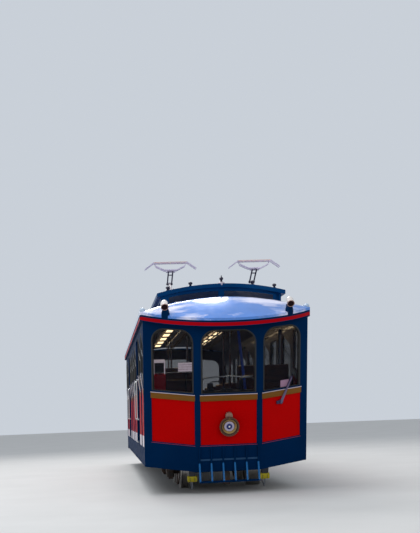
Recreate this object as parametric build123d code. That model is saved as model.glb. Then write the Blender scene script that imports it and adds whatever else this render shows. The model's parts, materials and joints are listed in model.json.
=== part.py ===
from build123d import *
import os
from math import cos, hypot, radians, sin, sqrt, tan

os.makedirs("parts", exist_ok=True)

# Funicular car for a steep narrow-gauge line, all sizes in millimetres.
# The finished part lies with its track plane flat: Y runs along the track with the downhill
# end at +Y, X is across, Z is square to the track and the wheel treads stand at Z = 0.
# The body is drawn upright first, with real level floors and sills, where the track falls
# along +Y, and is then turned about X by the slope. The running gear is drawn on the track.

# Line
SLOPE = 18.0
GAUGE = 1067.0
RAIL_HEAD = 64.0

# Body plan
BODY_WIDTH = 2500.0
BAY = 1034.0
BAYS = 10
DOOR_BAYS = (2, 7)
NOSE = 330.0
FACET_SIDE = 780.0
WALL = 50.0
SKIN = 45.0
CORNER_POST = 110.0
MULLION_HALF = 37.0
PILASTER = 110.0
WINDOW_BORDER = 28.0

# Heights over the track, straight up from the corner line of each end
SKIRT = 450.0
FLOOR = 860.0
PANEL_FOOT = 858.0
PANEL_HEIGHT = 706.0
SIDE_PANEL_FOOT = 740.0
BELT_HEIGHT = 83.0
SILL_CAP = 15.0
WINDOW_HEIGHT = 971.0
HEADER = 224.0
DOOR_STEP = 60.0
DOOR_HEADER = 217.0

# Body skins and trim
PANEL_THICK = 18.0
PANEL_BACK = 10.0
BELT_THICK = 14.0
BELT_RECESS = 8.0
GLASS = 6.0
GLASS_BACK = 22.0
HEAD_RADIUS = 195.0
SIDE_HEAD_RADIUS = 120.0
SILL_RADIUS = 25.0
SIDE_HEADER = 60.0

# Roof
EAVE_OUT = 40.0
FASCIA = 123.0
FASCIA_THICK = 30.0
STRIPE_UP = 11.0
STRIPE_HEIGHT = 63.0
STRIPE_THICK = 12.0
SOFFIT = 15.0
HOOD_OVERHANG = 204.0
HOOD_RIM = 7.0
HOOD_RISE = 250.0
DECK_RISE = 225.0
DECK_THICK = 40.0
DECK_SHEETS = 6
CREST_BACK = 170.0
ROLL_WIDTH = 85.0
ROLL_HEIGHT = 80.0
ROLL_INSET = 1.0

# Lantern on the roof
CLERESTORY_INSET = 310.0
CLERESTORY_WALL = 30.0
CLERESTORY_BACK = 570.0
CLERESTORY_EAVE = 287.0
CLERESTORY_RISE = 130.0
CLERESTORY_ROOF = 65.0
CLERESTORY_OVERHANG = 60.0
CLERESTORY_SHEETS = 4
CLERESTORY_WINDOW = 100.0
CLERESTORY_HEAD = 45.0
CLERESTORY_SILL = 30.0
CLERESTORY_POST = 90.0
CLERESTORY_CORNER = 125.0

# Saloon
STEP_THICK = 45.0
FLOOR_EDGE = 110.0
AISLE_HALF = 300.0
SEAT_BAYS = (1, 3, 4, 5, 6, 8)
SEAT_INSET = 12.0
SEAT_HEIGHT = 430.0
SEAT_DEPTH = 450.0
CUSHION_THICK = 90.0
BACK_HEIGHT = 520.0
SEAT_BOARD = 40.0
SEAT_LEG_FOOT = 240.0
RAIL_TUBE = 34.0
POLE_X = 330.0
CAB_DEPTH = 430.0
DESK_HALF = 430.0
DESK_DEPTH = 380.0
DESK_HEIGHT = 830.0
DESK_FALL = 100.0
PARTITION = 30.0
PARTITION_HEIGHT = 860.0
LIGHT_LENGTH = 560.0
LIGHT_WIDTH = 130.0
LIGHT_THICK = 24.0
LIGHT_X = 530.0

# Door leaf
DOOR_THICK = 32.0
DOOR_LAP = 30.0
DOOR_GAP = 6.0
DOOR_TRAVEL = 900.0
RUNNER = 40.0
RUNNER_GAP = 0.3
DOOR_SILL = 1720.0
DOOR_TOP_RAIL = 100.0
DOOR_STILE = 150.0
DOOR_RADIUS = 60.0

# Running gear, on the track
BOGIE_Y = 3500.0
WHEELBASE = 1500.0
TREAD_RADIUS = 280.0
FLANGE = 22.0
FLANGE_WIDTH = 28.0
FLANGE_ROOT = 6.0
TREAD_WIDTH = 78.0
ROLLER_WIDTH = 240.0
RIM_THICK = 45.0
WEB_RECESS = 24.0
HUB_RADIUS = 105.0
HUB_HALF = 75.0
AXLE_RADIUS = 48.0
AXLE_HALF = 850.0
JOURNAL_RADIUS = 40.0
JOURNAL_LENGTH = 130.0
JOURNAL_CLEAR = 1.0
BOX_WIDTH = 110.0
BOX_LENGTH = 190.0
BOX_HEIGHT = 190.0
BOX_CORNER = 30.0
BOX_IN = 65.0
FRAME_WIDTH = 70.0
FRAME_FOOT = 430.0
FRAME_TOP = 520.0
FRAME_END_FOOT = 465.0
HORN_THICK = 30.0
HORN_TOP = 80.0
HORN_FOOT = 170.0
TIE = 15.0
SPRING_RADIUS = 42.0
SPRING_CUP = 56.0
CUP = 10.0
BEAM = 50.0
WHEEL_CLEAR = 12.0
BOLSTER = 420.0
BOLSTER_TOP = 600.0
PIVOT_RADIUS = 150.0
PIVOT_PLATE = 60.0
PIN_RADIUS = 45.0
PIN_HEIGHT = 100.0
SIDE_BEARER = 0.5
PIN_CLEAR = 0.3
BRAKE_HALF = 230.0
BRAKE_FOOT = 20.0
BRAKE_JAW_TOP = 190.0
BRAKE_TOP = 235.0
BRAKE_GAP = 12.0
BRAKE_JAW = 28.0
BRAKE_TOE = 60.0
BRAKE_PACK = 48.0
HANGER = 44.0
SILL_X = 500.0
SILL_WIDTH = 90.0
SILL_DEPTH = 150.0
SILL_PLATE = 14.0
CROSS_MEMBER = 80.0
OUTRIGGER_DROP = 55.0
OUTRIGGER_TIP = 45.0
OUTRIGGER_FLAT = 440.0
SOCKET_WIDTH = 80.0
SOCKET_LENGTH = 420.0
SOCKET_FOOT_LENGTH = 270.0
SOCKET_LEAD = 60.0
SOCKET_EYE = 130.0
SOCKET_H = 170.0
SOCKET_PIN = 32.0
SOCKET_WALL = 60.0
SOCKET_BAR = 100.0

# Nose fittings
HEADLIGHT_H = 1170.0
HEADLIGHT_RADIUS = 150.0
HEADLIGHT_DEPTH = 90.0
LAMP_IN = 355.0
LAMP_UP = 157.0
LAMP_RADIUS = 57.0
LAMP_LENGTH = 125.0
LAMP_STRAIGHT = 55.0
LAMP_LIP = 6.0
LAMP_DIP = 26.0
LAMP_FOOT_HALF = 56.0
LAMP_NECK_HALF = 38.0
LAMP_POST = 70.0
LAMP_LEAD = 50.0
PILOT_BARS = 6
PILOT_HALF = 430.0
PILOT_BAR = 26.0
PILOT_STRAP = 14.0
PILOT_TOP = 830.0
PILOT_KINK = 500.0
PILOT_FOOT = 330.0
PILOT_REACH = 120.0
PILOT_RAILS = (628.0, 487.0, 330.0)
BLOCK_WIDTH = 180.0
BLOCK_DEPTH = 90.0
BLOCK_HEIGHT = 130.0
BLOCK_X = 571.0
BLOCK_H = 290.0
BLOCK_PLATE = 40.0
WIPER_FOOT = 0.43
WIPER_DROP = 100.0
WIPER_ARM_LENGTH = 270.0
WIPER_BLADE = 300.0
WIPER_LEAN = 27.0
WIPER_HUB = 22.0
WIPER_ARM_WIDTH = 14.0
WIPER_ARM_THICK = 8.0
WIPER_BLADE_WIDTH = 10.0
WIPER_BLADE_DEPTH = 20.0

# Current collectors on the lantern roof
PANTOGRAPH_X = 700.0
PANTOGRAPH_Y = 3500.0
ARM_LENGTH = 400.0
ARM_ANGLE = 22.6
ARM_TUBE = 36.0
ARM_KNUCKLE = 24.0
FORK_HALF = 36.0
FORK_TUBE = 20.0
FORK_KNUCKLE = 18.0
ELBOW_PIN = 11.0
HEAD_PIN = 9.0
PIN_ROOM = 1.0
INSULATOR_RADIUS = 30.0
INSULATOR_CORE = 18.0
INSULATOR_HEIGHT = 66.0
INSULATOR_SHEDS = 3
BASE_PLATE = 16.0
BASE_LENGTH = 340.0
BASE_WIDTH = 150.0
EAR_THICK = 14.0
EAR_HALF = 28.0
PIVOT_UP = 112.0
BOW_HALF = 103.0
BOW_RISE = 67.0
BOW_OUT = 240.0
BOW_FOOT = 18.0
STRIP_HALF = 280.0
STRIP_UP = 142.0
STRIP_SPREAD = 60.0
HEAD_BAR = 18.0
HEAD_DEPTH = 24.0
HORN_OUT = 145.0
HORN_DROP = 105.0

A = radians(SLOPE)
FALL = tan(A)
HALF = BODY_WIDTH / 2
FACET_HALF = HALF - FACET_SIDE
CORNER = BAYS * BAY / 2
FRONT = CORNER + NOSE
CAB_WELL = CORNER - CAB_DEPTH
BELT_FOOT = PANEL_FOOT + PANEL_HEIGHT
BELT_TOP = BELT_FOOT + BELT_HEIGHT
SILL = BELT_TOP + SILL_CAP
WINDOW_HEAD = SILL + WINDOW_HEIGHT
EAVE = WINDOW_HEAD + HEADER
DOOR_FOOT = FLOOR - DOOR_STEP
DOOR_HEAD = EAVE - DOOR_HEADER
DOOR_GLASS_HEAD = DOOR_HEAD - DOOR_TOP_RAIL
EAVE_HALF = HALF + EAVE_OUT
FASCIA_Y = CORNER - FASCIA_THICK
HOOD_TIP = FRONT + HOOD_OVERHANG
HOOD_RADIUS = (EAVE_HALF**2 + (HOOD_TIP - FASCIA_Y) ** 2) / (2 * (HOOD_TIP - FASCIA_Y))
HOOD_CENTRE = HOOD_TIP - HOOD_RADIUS
CREST = CORNER - CREST_BACK
CLERESTORY_HALF = HALF - CLERESTORY_INSET
CLERESTORY_OUT = CLERESTORY_HALF + CLERESTORY_OVERHANG
CLERESTORY_END = CORNER - CLERESTORY_BACK
FLOOR_HALF = HALF - FLOOR_EDGE
LAMP_X = EAVE_HALF - LAMP_IN
BOX_X = AXLE_HALF - BOX_IN
LONG = 4 * CORNER


def track(y):
    return -y * FALL


def bay_start(i):
    return -CORNER + i * BAY


def bay_track(i):
    """Height of the track under the uphill edge of a bay."""
    return track(bay_start(i))


def prism(sketch, plane, near, far):
    """A sketch drawn on a plane, as a solid between two distances along its normal."""
    return extrude(plane.offset(near) * sketch, amount=far - near)


def sloped(sketch, y0, y1):
    """A cross-section in X and Z, carried along the falling track from y0 to y1."""
    at = Plane(origin=(0, y0, track(y0)), x_dir=(1, 0, 0), z_dir=(0, -1, 0))
    return extrude(at * sketch, amount=(y1 - y0) / cos(A), dir=(0, cos(A), -sin(A)))


def upper(shape):
    """Sets a shape drawn for the uphill end, heights from its corner line, in place."""
    return Pos(0, 0, track(-CORNER)) * shape


def lower(shape):
    """The same shape turned round for the downhill end."""
    return Pos(0, 0, track(CORNER)) * mirror(shape, about=Plane.XZ)


def both_ends(shape):
    return [upper(shape), lower(shape)]


def both_sides(shape):
    return [shape, mirror(shape, about=Plane.YZ)]


def solids_of(things):
    found = []
    for thing in things if isinstance(things, (list, tuple)) else [things]:
        found += list(thing.solids())
    return found


def save(name, things, tilted=True):
    solids = solids_of(things)
    if tilted:
        solids = [Rot(SLOPE, 0, 0) * s for s in solids]
    shape = solids[0] if len(solids) == 1 else Compound(children=solids)
    shape.label = name
    export_step(shape, f"parts/{name}.step")


def block(x0, x1, y0, y1, z0, z1):
    size = (x1 - x0, y1 - y0, z1 - z0)
    return Pos((x0 + x1) / 2, (y0 + y1) / 2, (z0 + z1) / 2) * Box(*size)


# Plan of the body: the corner line, then the centre facet ahead of it, at both ends
def plan(inset):
    points = [(HALF, CORNER), (FACET_HALF, FRONT), (-FACET_HALF, FRONT), (-HALF, CORNER)]
    points += [(-x, -y) for x, y in points]
    face = make_face(Polyline(*points, close=True))
    return offset(face, -inset, kind=Kind.INTERSECTION) if inset else face


# Facets of the uphill end: start, end, post at the start, post at the end
FACETS = (
    ((-HALF, -CORNER), (-FACET_HALF, -FRONT), CORNER_POST, MULLION_HALF),
    ((-FACET_HALF, -FRONT), (FACET_HALF, -FRONT), MULLION_HALF, MULLION_HALF),
    ((FACET_HALF, -FRONT), (HALF, -CORNER), MULLION_HALF, CORNER_POST),
)


def facet_plane(facet):
    """Origin at the start of the facet, x along it, y up, z outwards."""
    (x0, y0), (x1, y1) = facet[0], facet[1]
    run = hypot(x1 - x0, y1 - y0)
    along = ((x1 - x0) / run, (y1 - y0) / run)
    return Plane(origin=(x0, y0, 0), x_dir=(*along, 0), z_dir=(along[1], -along[0], 0)), run


def pane(x0, x1, foot, head, arch):
    """A window outline with rounded bottom corners and an arched top."""
    sketch = Pos((x0 + x1) / 2, (foot + head) / 2) * Rectangle(x1 - x0, head - foot)
    rows = sketch.vertices().group_by(Axis.Y)
    sketch = fillet(rows[-1], arch)
    return fillet(sketch.vertices().group_by(Axis.Y)[0], SILL_RADIUS)


def rectangle(x0, x1, foot, head):
    return Pos((x0 + x1) / 2, (foot + head) / 2) * Rectangle(x1 - x0, head - foot)


def facet_wedge():
    """Everything in line with the centre facet, between the mitres of its two mullions."""
    out = facet_plane(FACETS[2])[0].z_dir
    y0, y1 = -FRONT - WALL, -CORNER + CORNER_POST
    x0, x1 = (FACET_HALF - (y + FRONT) * out.X / (1 - out.Y) for y in (y0, y1))
    points = [(x0, y0), (-x0, y0), (-x1, y1), (x1, y1)]
    return extrude(make_face(Polyline(*points, close=True)), LONG)


def end_parts():
    ring = extrude(plan(0) - plan(WALL), EAVE - SKIRT + WALL)
    frame = Pos(0, 0, SKIRT) * ring
    frame &= block(-LONG, LONG, -LONG, -CORNER + CORNER_POST, 0, LONG)
    panels, belts, panes = [], [], []
    for facet in FACETS:
        at, run = facet_plane(facet)
        x0, x1 = facet[2], run - facet[3]
        panel = rectangle(x0, x1, PANEL_FOOT, BELT_FOOT)
        belt = rectangle(x0, x1, BELT_FOOT, BELT_TOP)
        window = pane(x0 + WINDOW_BORDER, x1 - WINDOW_BORDER, SILL, WINDOW_HEAD, HEAD_RADIUS)
        frame -= prism(panel, at, -2 * WALL, WALL)
        frame -= prism(window, at, -2 * WALL, WALL)
        frame -= prism(belt, at, -BELT_RECESS, WALL)
        panels.append(prism(panel, at, -PANEL_BACK - PANEL_THICK, -PANEL_BACK))
        belts.append(prism(belt, at, -BELT_RECESS, BELT_THICK - BELT_RECESS))
        panes.append(prism(window, at, -GLASS_BACK - GLASS, -GLASS_BACK))
    frames = [frame & facet_wedge(), frame - facet_wedge()]
    return frames, panels, belts, panes


LEFT = Plane(origin=(-HALF, 0, 0), x_dir=(0, 1, 0), z_dir=(1, 0, 0))


def slanted(y0, y1, foot, head):
    """Outline between two heights over the falling track."""
    points = [(y0, track(y0) + foot), (y1, track(y1) + foot)]
    points += [(y1, track(y1) + head), (y0, track(y0) + head)]
    return make_face(Polyline(*points, close=True))


def bay_edges(i):
    """Clear width of a bay between its pilasters or corner post."""
    start = bay_start(i) + (CORNER_POST if i == 0 else PILASTER / 2)
    end = bay_start(i + 1) - (CORNER_POST if i == BAYS - 1 else PILASTER / 2)
    return start, end


def side_parts():
    wall = slanted(-CORNER + CORNER_POST, CORNER - CORNER_POST, SKIRT, EAVE)
    frame = prism(wall, LEFT, 0, SKIN)
    head = EAVE - FASCIA - BAY * FALL - SIDE_HEADER
    panels, belts, panes = [], [], []
    for i in range(BAYS):
        y0, y1 = bay_edges(i)
        if i in DOOR_BAYS:
            frame -= prism(slanted(y0, y1, DOOR_FOOT, DOOR_HEAD), LEFT, -SKIN, 2 * SKIN)
            continue
        base = bay_track(i)
        top = base + BELT_FOOT
        corners = [(y0, track(y0) + SIDE_PANEL_FOOT), (y1, track(y1) + SIDE_PANEL_FOOT)]
        panel = make_face(Polyline(*corners, (y1, top), (y0, top), close=True))
        belt = rectangle(y0, y1, base + BELT_FOOT, base + BELT_TOP)
        edge = WINDOW_BORDER
        window = pane(y0 + edge, y1 - edge, base + SILL, base + head, SIDE_HEAD_RADIUS)
        frame -= prism(panel, LEFT, -SKIN, 2 * SKIN)
        frame -= prism(window, LEFT, -SKIN, 2 * SKIN)
        frame -= prism(belt, LEFT, -SKIN, BELT_RECESS)
        panels.append(prism(panel, LEFT, PANEL_BACK, PANEL_BACK + PANEL_THICK))
        belts.append(prism(belt, LEFT, BELT_RECESS - BELT_THICK, BELT_RECESS))
        panes.append(prism(window, LEFT, GLASS_BACK, GLASS_BACK + GLASS))
    for i in DOOR_BAYS:
        frame += prism(runner(i), LEFT, SKIN, SKIN + DOOR_GAP + DOOR_THICK)
    return frame, panels, belts, panes


def runner(i):
    """Outline of the rail over a door, long enough for the leaf at both ends of its travel."""
    y0, y1 = bay_edges(i)
    slide = DOOR_TRAVEL * cos(A)
    before, after = (0, slide) if i < BAYS / 2 else (slide, 0)
    foot = DOOR_HEAD + DOOR_LAP + RUNNER_GAP
    return slanted(y0 - DOOR_LAP - before, y1 + DOOR_LAP + after, foot, foot + RUNNER)


def door_parts(i):
    """A leaf behind the wall skin, with its rounded window, and the pane."""
    y0, y1 = bay_edges(i)
    near = SKIN + DOOR_GAP
    outline = slanted(y0 - DOOR_LAP, y1 + DOOR_LAP, DOOR_FOOT - DOOR_LAP, DOOR_HEAD + DOOR_LAP)
    light = slanted(y0 + DOOR_STILE, y1 - DOOR_STILE, DOOR_SILL, DOOR_GLASS_HEAD)
    light = fillet(light.vertices(), DOOR_RADIUS)
    leaf = prism(outline, LEFT, near, near + DOOR_THICK)
    leaf -= prism(light, LEFT, near - SKIN, near + 2 * SKIN)
    middle = near + DOOR_THICK / 2
    return leaf, prism(light, LEFT, middle - GLASS / 2, middle + GLASS / 2)


# Roof
def hood_plan(inset):
    """Curved nose of the roof, ahead of the line where the sloping eaves begin."""
    edge = EAVE_HALF - inset
    tip = HOOD_TIP - inset
    back = -FASCIA_Y
    arc = ThreePointArc((-edge, back), (0, -tip), (edge, back))
    return make_face([arc, Line((edge, back), (-edge, back))])


def deck_section(inset, foot):
    """Arched roof across the car, from foot up to its skin, heights over the eave line."""
    edge = EAVE_HALF - inset
    rim = HOOD_RIM - inset
    crown = HOOD_RIM + DECK_RISE - inset
    arc = ThreePointArc((-edge, rim), (0, crown), (edge, rim))
    sides = Polyline((edge, rim), (edge, foot), (-edge, foot), (-edge, rim))
    return Pos(0, EAVE) * make_face([arc, sides])


def deck_body(inset, foot):
    """Roof volume: the sloping deck, and at each end the curved nose brought down level."""
    rise = HOOD_RISE
    base = HOOD_RADIUS - inset
    ball = (base**2 + rise**2) / (2 * rise)
    top = EAVE + HOOD_RIM + rise - inset
    dome = upper(Pos(0, HOOD_CENTRE * -1, top - ball) * Sphere(ball))
    high = EAVE + 3 * DECK_RISE
    nose = Pos(0, 0, EAVE + foot) * extrude(hood_plan(inset), high)
    whole = deck_section(inset, -CORNER)
    under = sloped(whole, -HOOD_TIP - WALL, HOOD_TIP + WALL)
    upper_nose = (upper(nose) & under) & dome
    lower_nose = lower(nose) & under
    first = sloped(deck_section(inset, foot), -FASCIA_Y, -CREST) & dome
    rest = sloped(deck_section(inset, foot), -CREST, FASCIA_Y)
    return upper_nose + first + rest + lower_nose


def over_eaves():
    """Everything above the eaves: level over the two noses, sloping between them."""
    nose = Pos(0, 0, EAVE) * extrude(hood_plan(0), EAVE)
    between = sloped(rectangle(-EAVE_HALF, EAVE_HALF, EAVE, 2 * EAVE), -FASCIA_Y, FASCIA_Y)
    return upper(nose) + lower(nose) + between


def eave_roll():
    """Rounded upstand along the left eave, with a round end at the corner of the nose."""
    r = ROLL_WIDTH / 2
    x = r + ROLL_INSET - EAVE_HALF
    low, high = EAVE + HOOD_RIM / 2, EAVE + ROLL_HEIGHT - r
    top = ThreePointArc((x - r, high), (x, high + r), (x + r, high))
    sides = Polyline((x + r, high), (x + r, low), (x - r, low), (x - r, high))
    start = r + ROLL_INSET - FASCIA_Y
    roll = sloped(make_face([top, sides]), start, FASCIA_Y)
    knob = Sphere(r) + Pos(0, 0, -r) * Cylinder(r, 2 * r)
    knob = Pos(x, start, track(start) + high) * knob
    knob &= sloped(rectangle(x - 2 * r, x + 2 * r, low, EAVE + high), start - 2 * r, start + 2 * r)
    return roll + knob


def strips(shape, xs, ys):
    """Cuts a shell into sheets that lie edge to edge."""
    pieces = []
    for x0, x1 in zip(xs, xs[1:]):
        for y0, y1 in zip(ys, ys[1:]):
            pieces += solids_of(shape & block(x0, x1, y0, y1, -LONG, LONG))
    return pieces


def roof_parts():
    deck = deck_body(0, 0) - deck_body(DECK_THICK, -DECK_THICK)
    for roll in both_sides(eave_roll()):
        deck += roll
    inner = EAVE_HALF - ROLL_WIDTH - DECK_THICK
    xs = [inner * (2 * k / DECK_SHEETS - 1) for k in range(DECK_SHEETS + 1)]
    sheets = strips(deck, [-LONG, *xs, LONG], [-LONG, -CREST, FASCIA_Y, LONG])
    body = extrude(plan(0), LONG, both=True)
    nose = extrude(hood_plan(0), FASCIA) - extrude(hood_plan(FASCIA_THICK), FASCIA)
    nose += extrude(hood_plan(0), SOFFIT)
    nose = Pos(0, 0, EAVE - FASCIA) * (nose - body)
    line = extrude(hood_plan(0) - hood_plan(STRIPE_THICK), STRIPE_HEIGHT) - body
    foot = EAVE - FASCIA + STRIPE_UP
    line = Pos(0, 0, foot) * line
    side = rectangle(EAVE_HALF - STRIPE_THICK, EAVE_HALF, foot, foot + STRIPE_HEIGHT)
    side = sloped(side, -FASCIA_Y, FASCIA_Y)
    band = sloped(rectangle(HALF, EAVE_HALF, EAVE - FASCIA, EAVE), -FASCIA_Y, FASCIA_Y) - side
    fascia = both_ends(nose - line) + both_sides(band)
    return sheets, fascia, both_ends(line) + both_sides(side)


def crown_arc(edge, foot, rise):
    return ThreePointArc((-edge, foot), (0, foot + rise), (edge, foot))


def below(arc, foot):
    """Area under an arc, down to a level line."""
    x0, x1 = (arc @ 0).X, (arc @ 1).X
    return make_face([arc, Polyline(arc @ 1, (x1, foot), (x0, foot), arc @ 0)])


def between_arcs(low, high):
    """Area between two arcs that span the middle."""
    ends = [Line(low @ 1, high @ 1), Line(high @ 0, low @ 0)]
    return make_face([low, ends[0], high, ends[1]])


def lantern_light():
    """Glazed area of an end wall of the lantern, whole: arched like its roof and the deck."""
    head = EAVE + CLERESTORY_EAVE - CLERESTORY_HEAD
    high = crown_arc(CLERESTORY_OUT, head, CLERESTORY_RISE)
    low = crown_arc(EAVE_HALF, EAVE + HOOD_RIM + CLERESTORY_SILL, DECK_RISE)
    return between_arcs(low, high)


def clerestory_parts():
    """Raised lantern over the saloon: side and end walls, their glass, and the arched roof."""
    eave, edge, end = EAVE + CLERESTORY_EAVE, CLERESTORY_HALF, CLERESTORY_END
    thick, past = CLERESTORY_WALL, CLERESTORY_OVERHANG
    low_arc = crown_arc(CLERESTORY_OUT, eave, CLERESTORY_RISE)
    high_arc = crown_arc(CLERESTORY_OUT, eave + CLERESTORY_ROOF, CLERESTORY_RISE)
    cover = between_arcs(low_arc, high_arc)
    step = 2 * CLERESTORY_OUT / CLERESTORY_SHEETS
    roof = []
    for k in range(CLERESTORY_SHEETS):
        x0 = k * step - CLERESTORY_OUT
        sheet = cover & rectangle(x0, x0 + step, EAVE, 2 * EAVE)
        roof.append(sloped(sheet, -end - past, end + past))
    under = sloped(below(low_arc, EAVE), -end, end) - deck_body(0, -EAVE)
    side = under & block(-edge, thick - edge, -end, end, -LONG, LONG)
    panes = []
    head = CLERESTORY_EAVE - CLERESTORY_HEAD
    foot = head - CLERESTORY_WINDOW
    at = Plane(origin=(-edge, 0, 0), x_dir=(0, 1, 0), z_dir=(1, 0, 0))
    for i in range(BAYS - 1):
        y0 = bay_start(i) + BAY / 2 + PILASTER / 2
        light = slanted(y0, y0 + BAY - PILASTER, EAVE + foot, EAVE + head)
        side -= prism(light, at, -thick, 2 * thick)
        panes += both_sides(prism(light, at, (thick - GLASS) / 2, (thick + GLASS) / 2))
    walls = both_sides(side)
    inner = edge - thick
    x0, x1 = CLERESTORY_POST / 2, edge - CLERESTORY_CORNER
    lights = [lantern_light() & rectangle(a, b, EAVE, 2 * EAVE) for a, b in ((-x1, -x0), (x0, x1))]
    for y in (-end, end - thick):
        wall = under & block(-inner, inner, y, y + thick, -LONG, LONG)
        middle = y + thick / 2
        for light in lights:
            wall -= sloped(light, y - thick, y + 2 * thick)
            panes.append(sloped(light, middle - GLASS / 2, middle + GLASS / 2))
        walls += strips(wall, [-inner, -x1 / 2, 0, x1 / 2, inner], [y, y + thick])
    return walls, panes, roof


# Saloon
def floor_parts():
    """Stair of level platforms, one to a bay, with risers and half steps in the aisle."""
    edges = [-FRONT] + [bay_start(i) for i in range(1, BAYS)] + [CAB_WELL, FRONT]
    step = BAY * FALL / 2
    pieces = []
    for i, (y0, y1) in enumerate(zip(edges, edges[1:])):
        z = bay_track(i) + FLOOR
        foot = z - STEP_THICK
        if i:
            above = bay_track(i - 1) + FLOOR
            pieces.append(block(-FLOOR_HALF, FLOOR_HALF, y0 - STEP_THICK, y0, foot, above))
        last = i == BAYS
        end = y1 if last else y1 - STEP_THICK
        pieces.append(block(-FLOOR_HALF, FLOOR_HALF, y0, end, foot, z))
        if 0 < i < BAYS:
            pieces.append(block(-AISLE_HALF, AISLE_HALF, y0, y0 + BAY / 2, z, z + step))
    inside = extrude(plan(WALL), LONG, both=True)
    return [s for p in pieces for s in solids_of(p & inside)]


def seat_parts():
    """Benches for two on each side of the aisle: boards on tapered legs, and cushions."""
    frames, cushions = [], []
    x0, x1 = -FLOOR_HALF + SEAT_INSET, -AISLE_HALF - SEAT_INSET
    for i in SEAT_BAYS:
        z0 = bay_track(i) + FLOOR
        y0 = bay_start(i) + SEAT_INSET
        y1 = y0 + CUSHION_THICK
        mid = y0 + SEAT_BOARD
        seat = z0 + SEAT_HEIGHT
        under = seat - CUSHION_THICK - SEAT_BOARD
        end = y1 + SEAT_DEPTH
        frames += both_sides(block(x0, x1, y0, mid, z0, seat + BACK_HEIGHT))
        frames += both_sides(block(x0, x1, mid, end, under, under + SEAT_BOARD))
        leg = [(mid, z0), (mid + SEAT_LEG_FOOT, z0), (end - SEAT_BOARD, under), (mid, under)]
        leg = make_face(Polyline(*leg, close=True))
        for x in (x0, x1 - SEAT_BOARD):
            at = Plane(origin=(x, 0, 0), x_dir=(0, 1, 0), z_dir=(1, 0, 0))
            frames += both_sides(prism(leg, at, 0, SEAT_BOARD))
        pad = block(x0, x1, y1, end, seat - CUSHION_THICK, seat)
        back = block(x0, x1, mid, y1, seat, seat + BACK_HEIGHT - SEAT_BOARD)
        cushions += both_sides(pad) + both_sides(back)
    return frames, cushions


def desk_part():
    """Driver's desk against the centre facet, with a sloping top."""
    y0 = -FRONT + WALL
    y1 = y0 + DESK_DEPTH
    top = FLOOR + DESK_HEIGHT
    points = [(y0, FLOOR), (y1 - WALL, FLOOR), (y1, top - DESK_FALL), (y0, top)]
    at = Plane(origin=(-DESK_HALF, 0, 0), x_dir=(0, 1, 0), z_dir=(1, 0, 0))
    desk = prism(make_face(Polyline(*points, close=True)), at, 0, 2 * DESK_HALF)
    return desk & extrude(plan(WALL), LONG, both=True)


def partition_parts():
    """Low walls behind each cab, both sides of the aisle."""
    walls = []
    for y, bay in ((bay_start(1) - PARTITION - STEP_THICK, 0), (bay_start(BAYS - 1), BAYS - 1)):
        z = bay_track(bay) + FLOOR
        wall = block(-FLOOR_HALF, -AISLE_HALF, y, y + PARTITION, z, z + PARTITION_HEIGHT)
        walls += both_sides(wall)
    return walls


def handrail_parts():
    """Grab poles beside the aisle, from the platform up to the arched ceiling."""
    poles = []
    ceiling = deck_body(DECK_THICK, -EAVE)
    for i in DOOR_BAYS:
        for y in (bay_start(i) + RAIL_TUBE, bay_start(i + 1) - RAIL_TUBE):
            z = bay_track(i) + FLOOR
            top = track(y) + EAVE + DECK_RISE
            pole = Pos(-POLE_X, y, (z + top) / 2) * Cylinder(RAIL_TUBE / 2, top - z)
            poles += both_sides(pole & ceiling)
    return poles


def light_parts():
    """Two rows of light panels against the arched ceiling, one pair to a bay."""
    lights = []
    long, wide, thick = LIGHT_LENGTH, LIGHT_WIDTH, LIGHT_THICK
    ceiling = deck_body(DECK_THICK, -DECK_THICK)
    high = EAVE + HOOD_RIM - DECK_THICK + DECK_RISE * (1 - (LIGHT_X / EAVE_HALF) ** 2)
    for i in range(1, BAYS - 1):
        y = bay_start(i) + BAY / 2
        x0 = -LIGHT_X - wide / 2
        section = rectangle(x0, x0 + wide, high - 2 * thick, high + DECK_RISE)
        lights += both_sides(sloped(section, y - long / 2, y + long / 2) & ceiling)
    return lights


# Nose fittings, drawn for the uphill end
def headlight_part():
    """Deep bowl lamp on the centre facet, its rim rolled outwards."""
    at = Plane(origin=(0, -FRONT, HEADLIGHT_H), x_dir=(1, 0, 0), z_dir=(0, -1, 0))
    r, depth = HEADLIGHT_RADIUS, HEADLIGHT_DEPTH
    points = [(0, -PANEL_BACK), (r * 0.7, -PANEL_BACK), (r * 0.84, depth * 0.6)]
    points += [(r, depth * 0.7), (r, depth), (r * 0.86, depth), (r * 0.8, depth * 0.7)]
    points += [(0, depth * 0.62)]
    profile = Plane.XZ * make_face(Polyline(*points, close=True))
    neck = Pos(0, r * 0.85, depth * 0.3) * Box(r * 0.4, r * 0.45, depth * 0.4)
    return at * (revolve(profile, Axis.Z) + neck)


def hood_edge(x, inset=0.0):
    """Distance of the roof nose edge from the middle of the car at x across."""
    return HOOD_CENTRE + sqrt((HOOD_RADIUS - inset) ** 2 - x**2)


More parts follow.
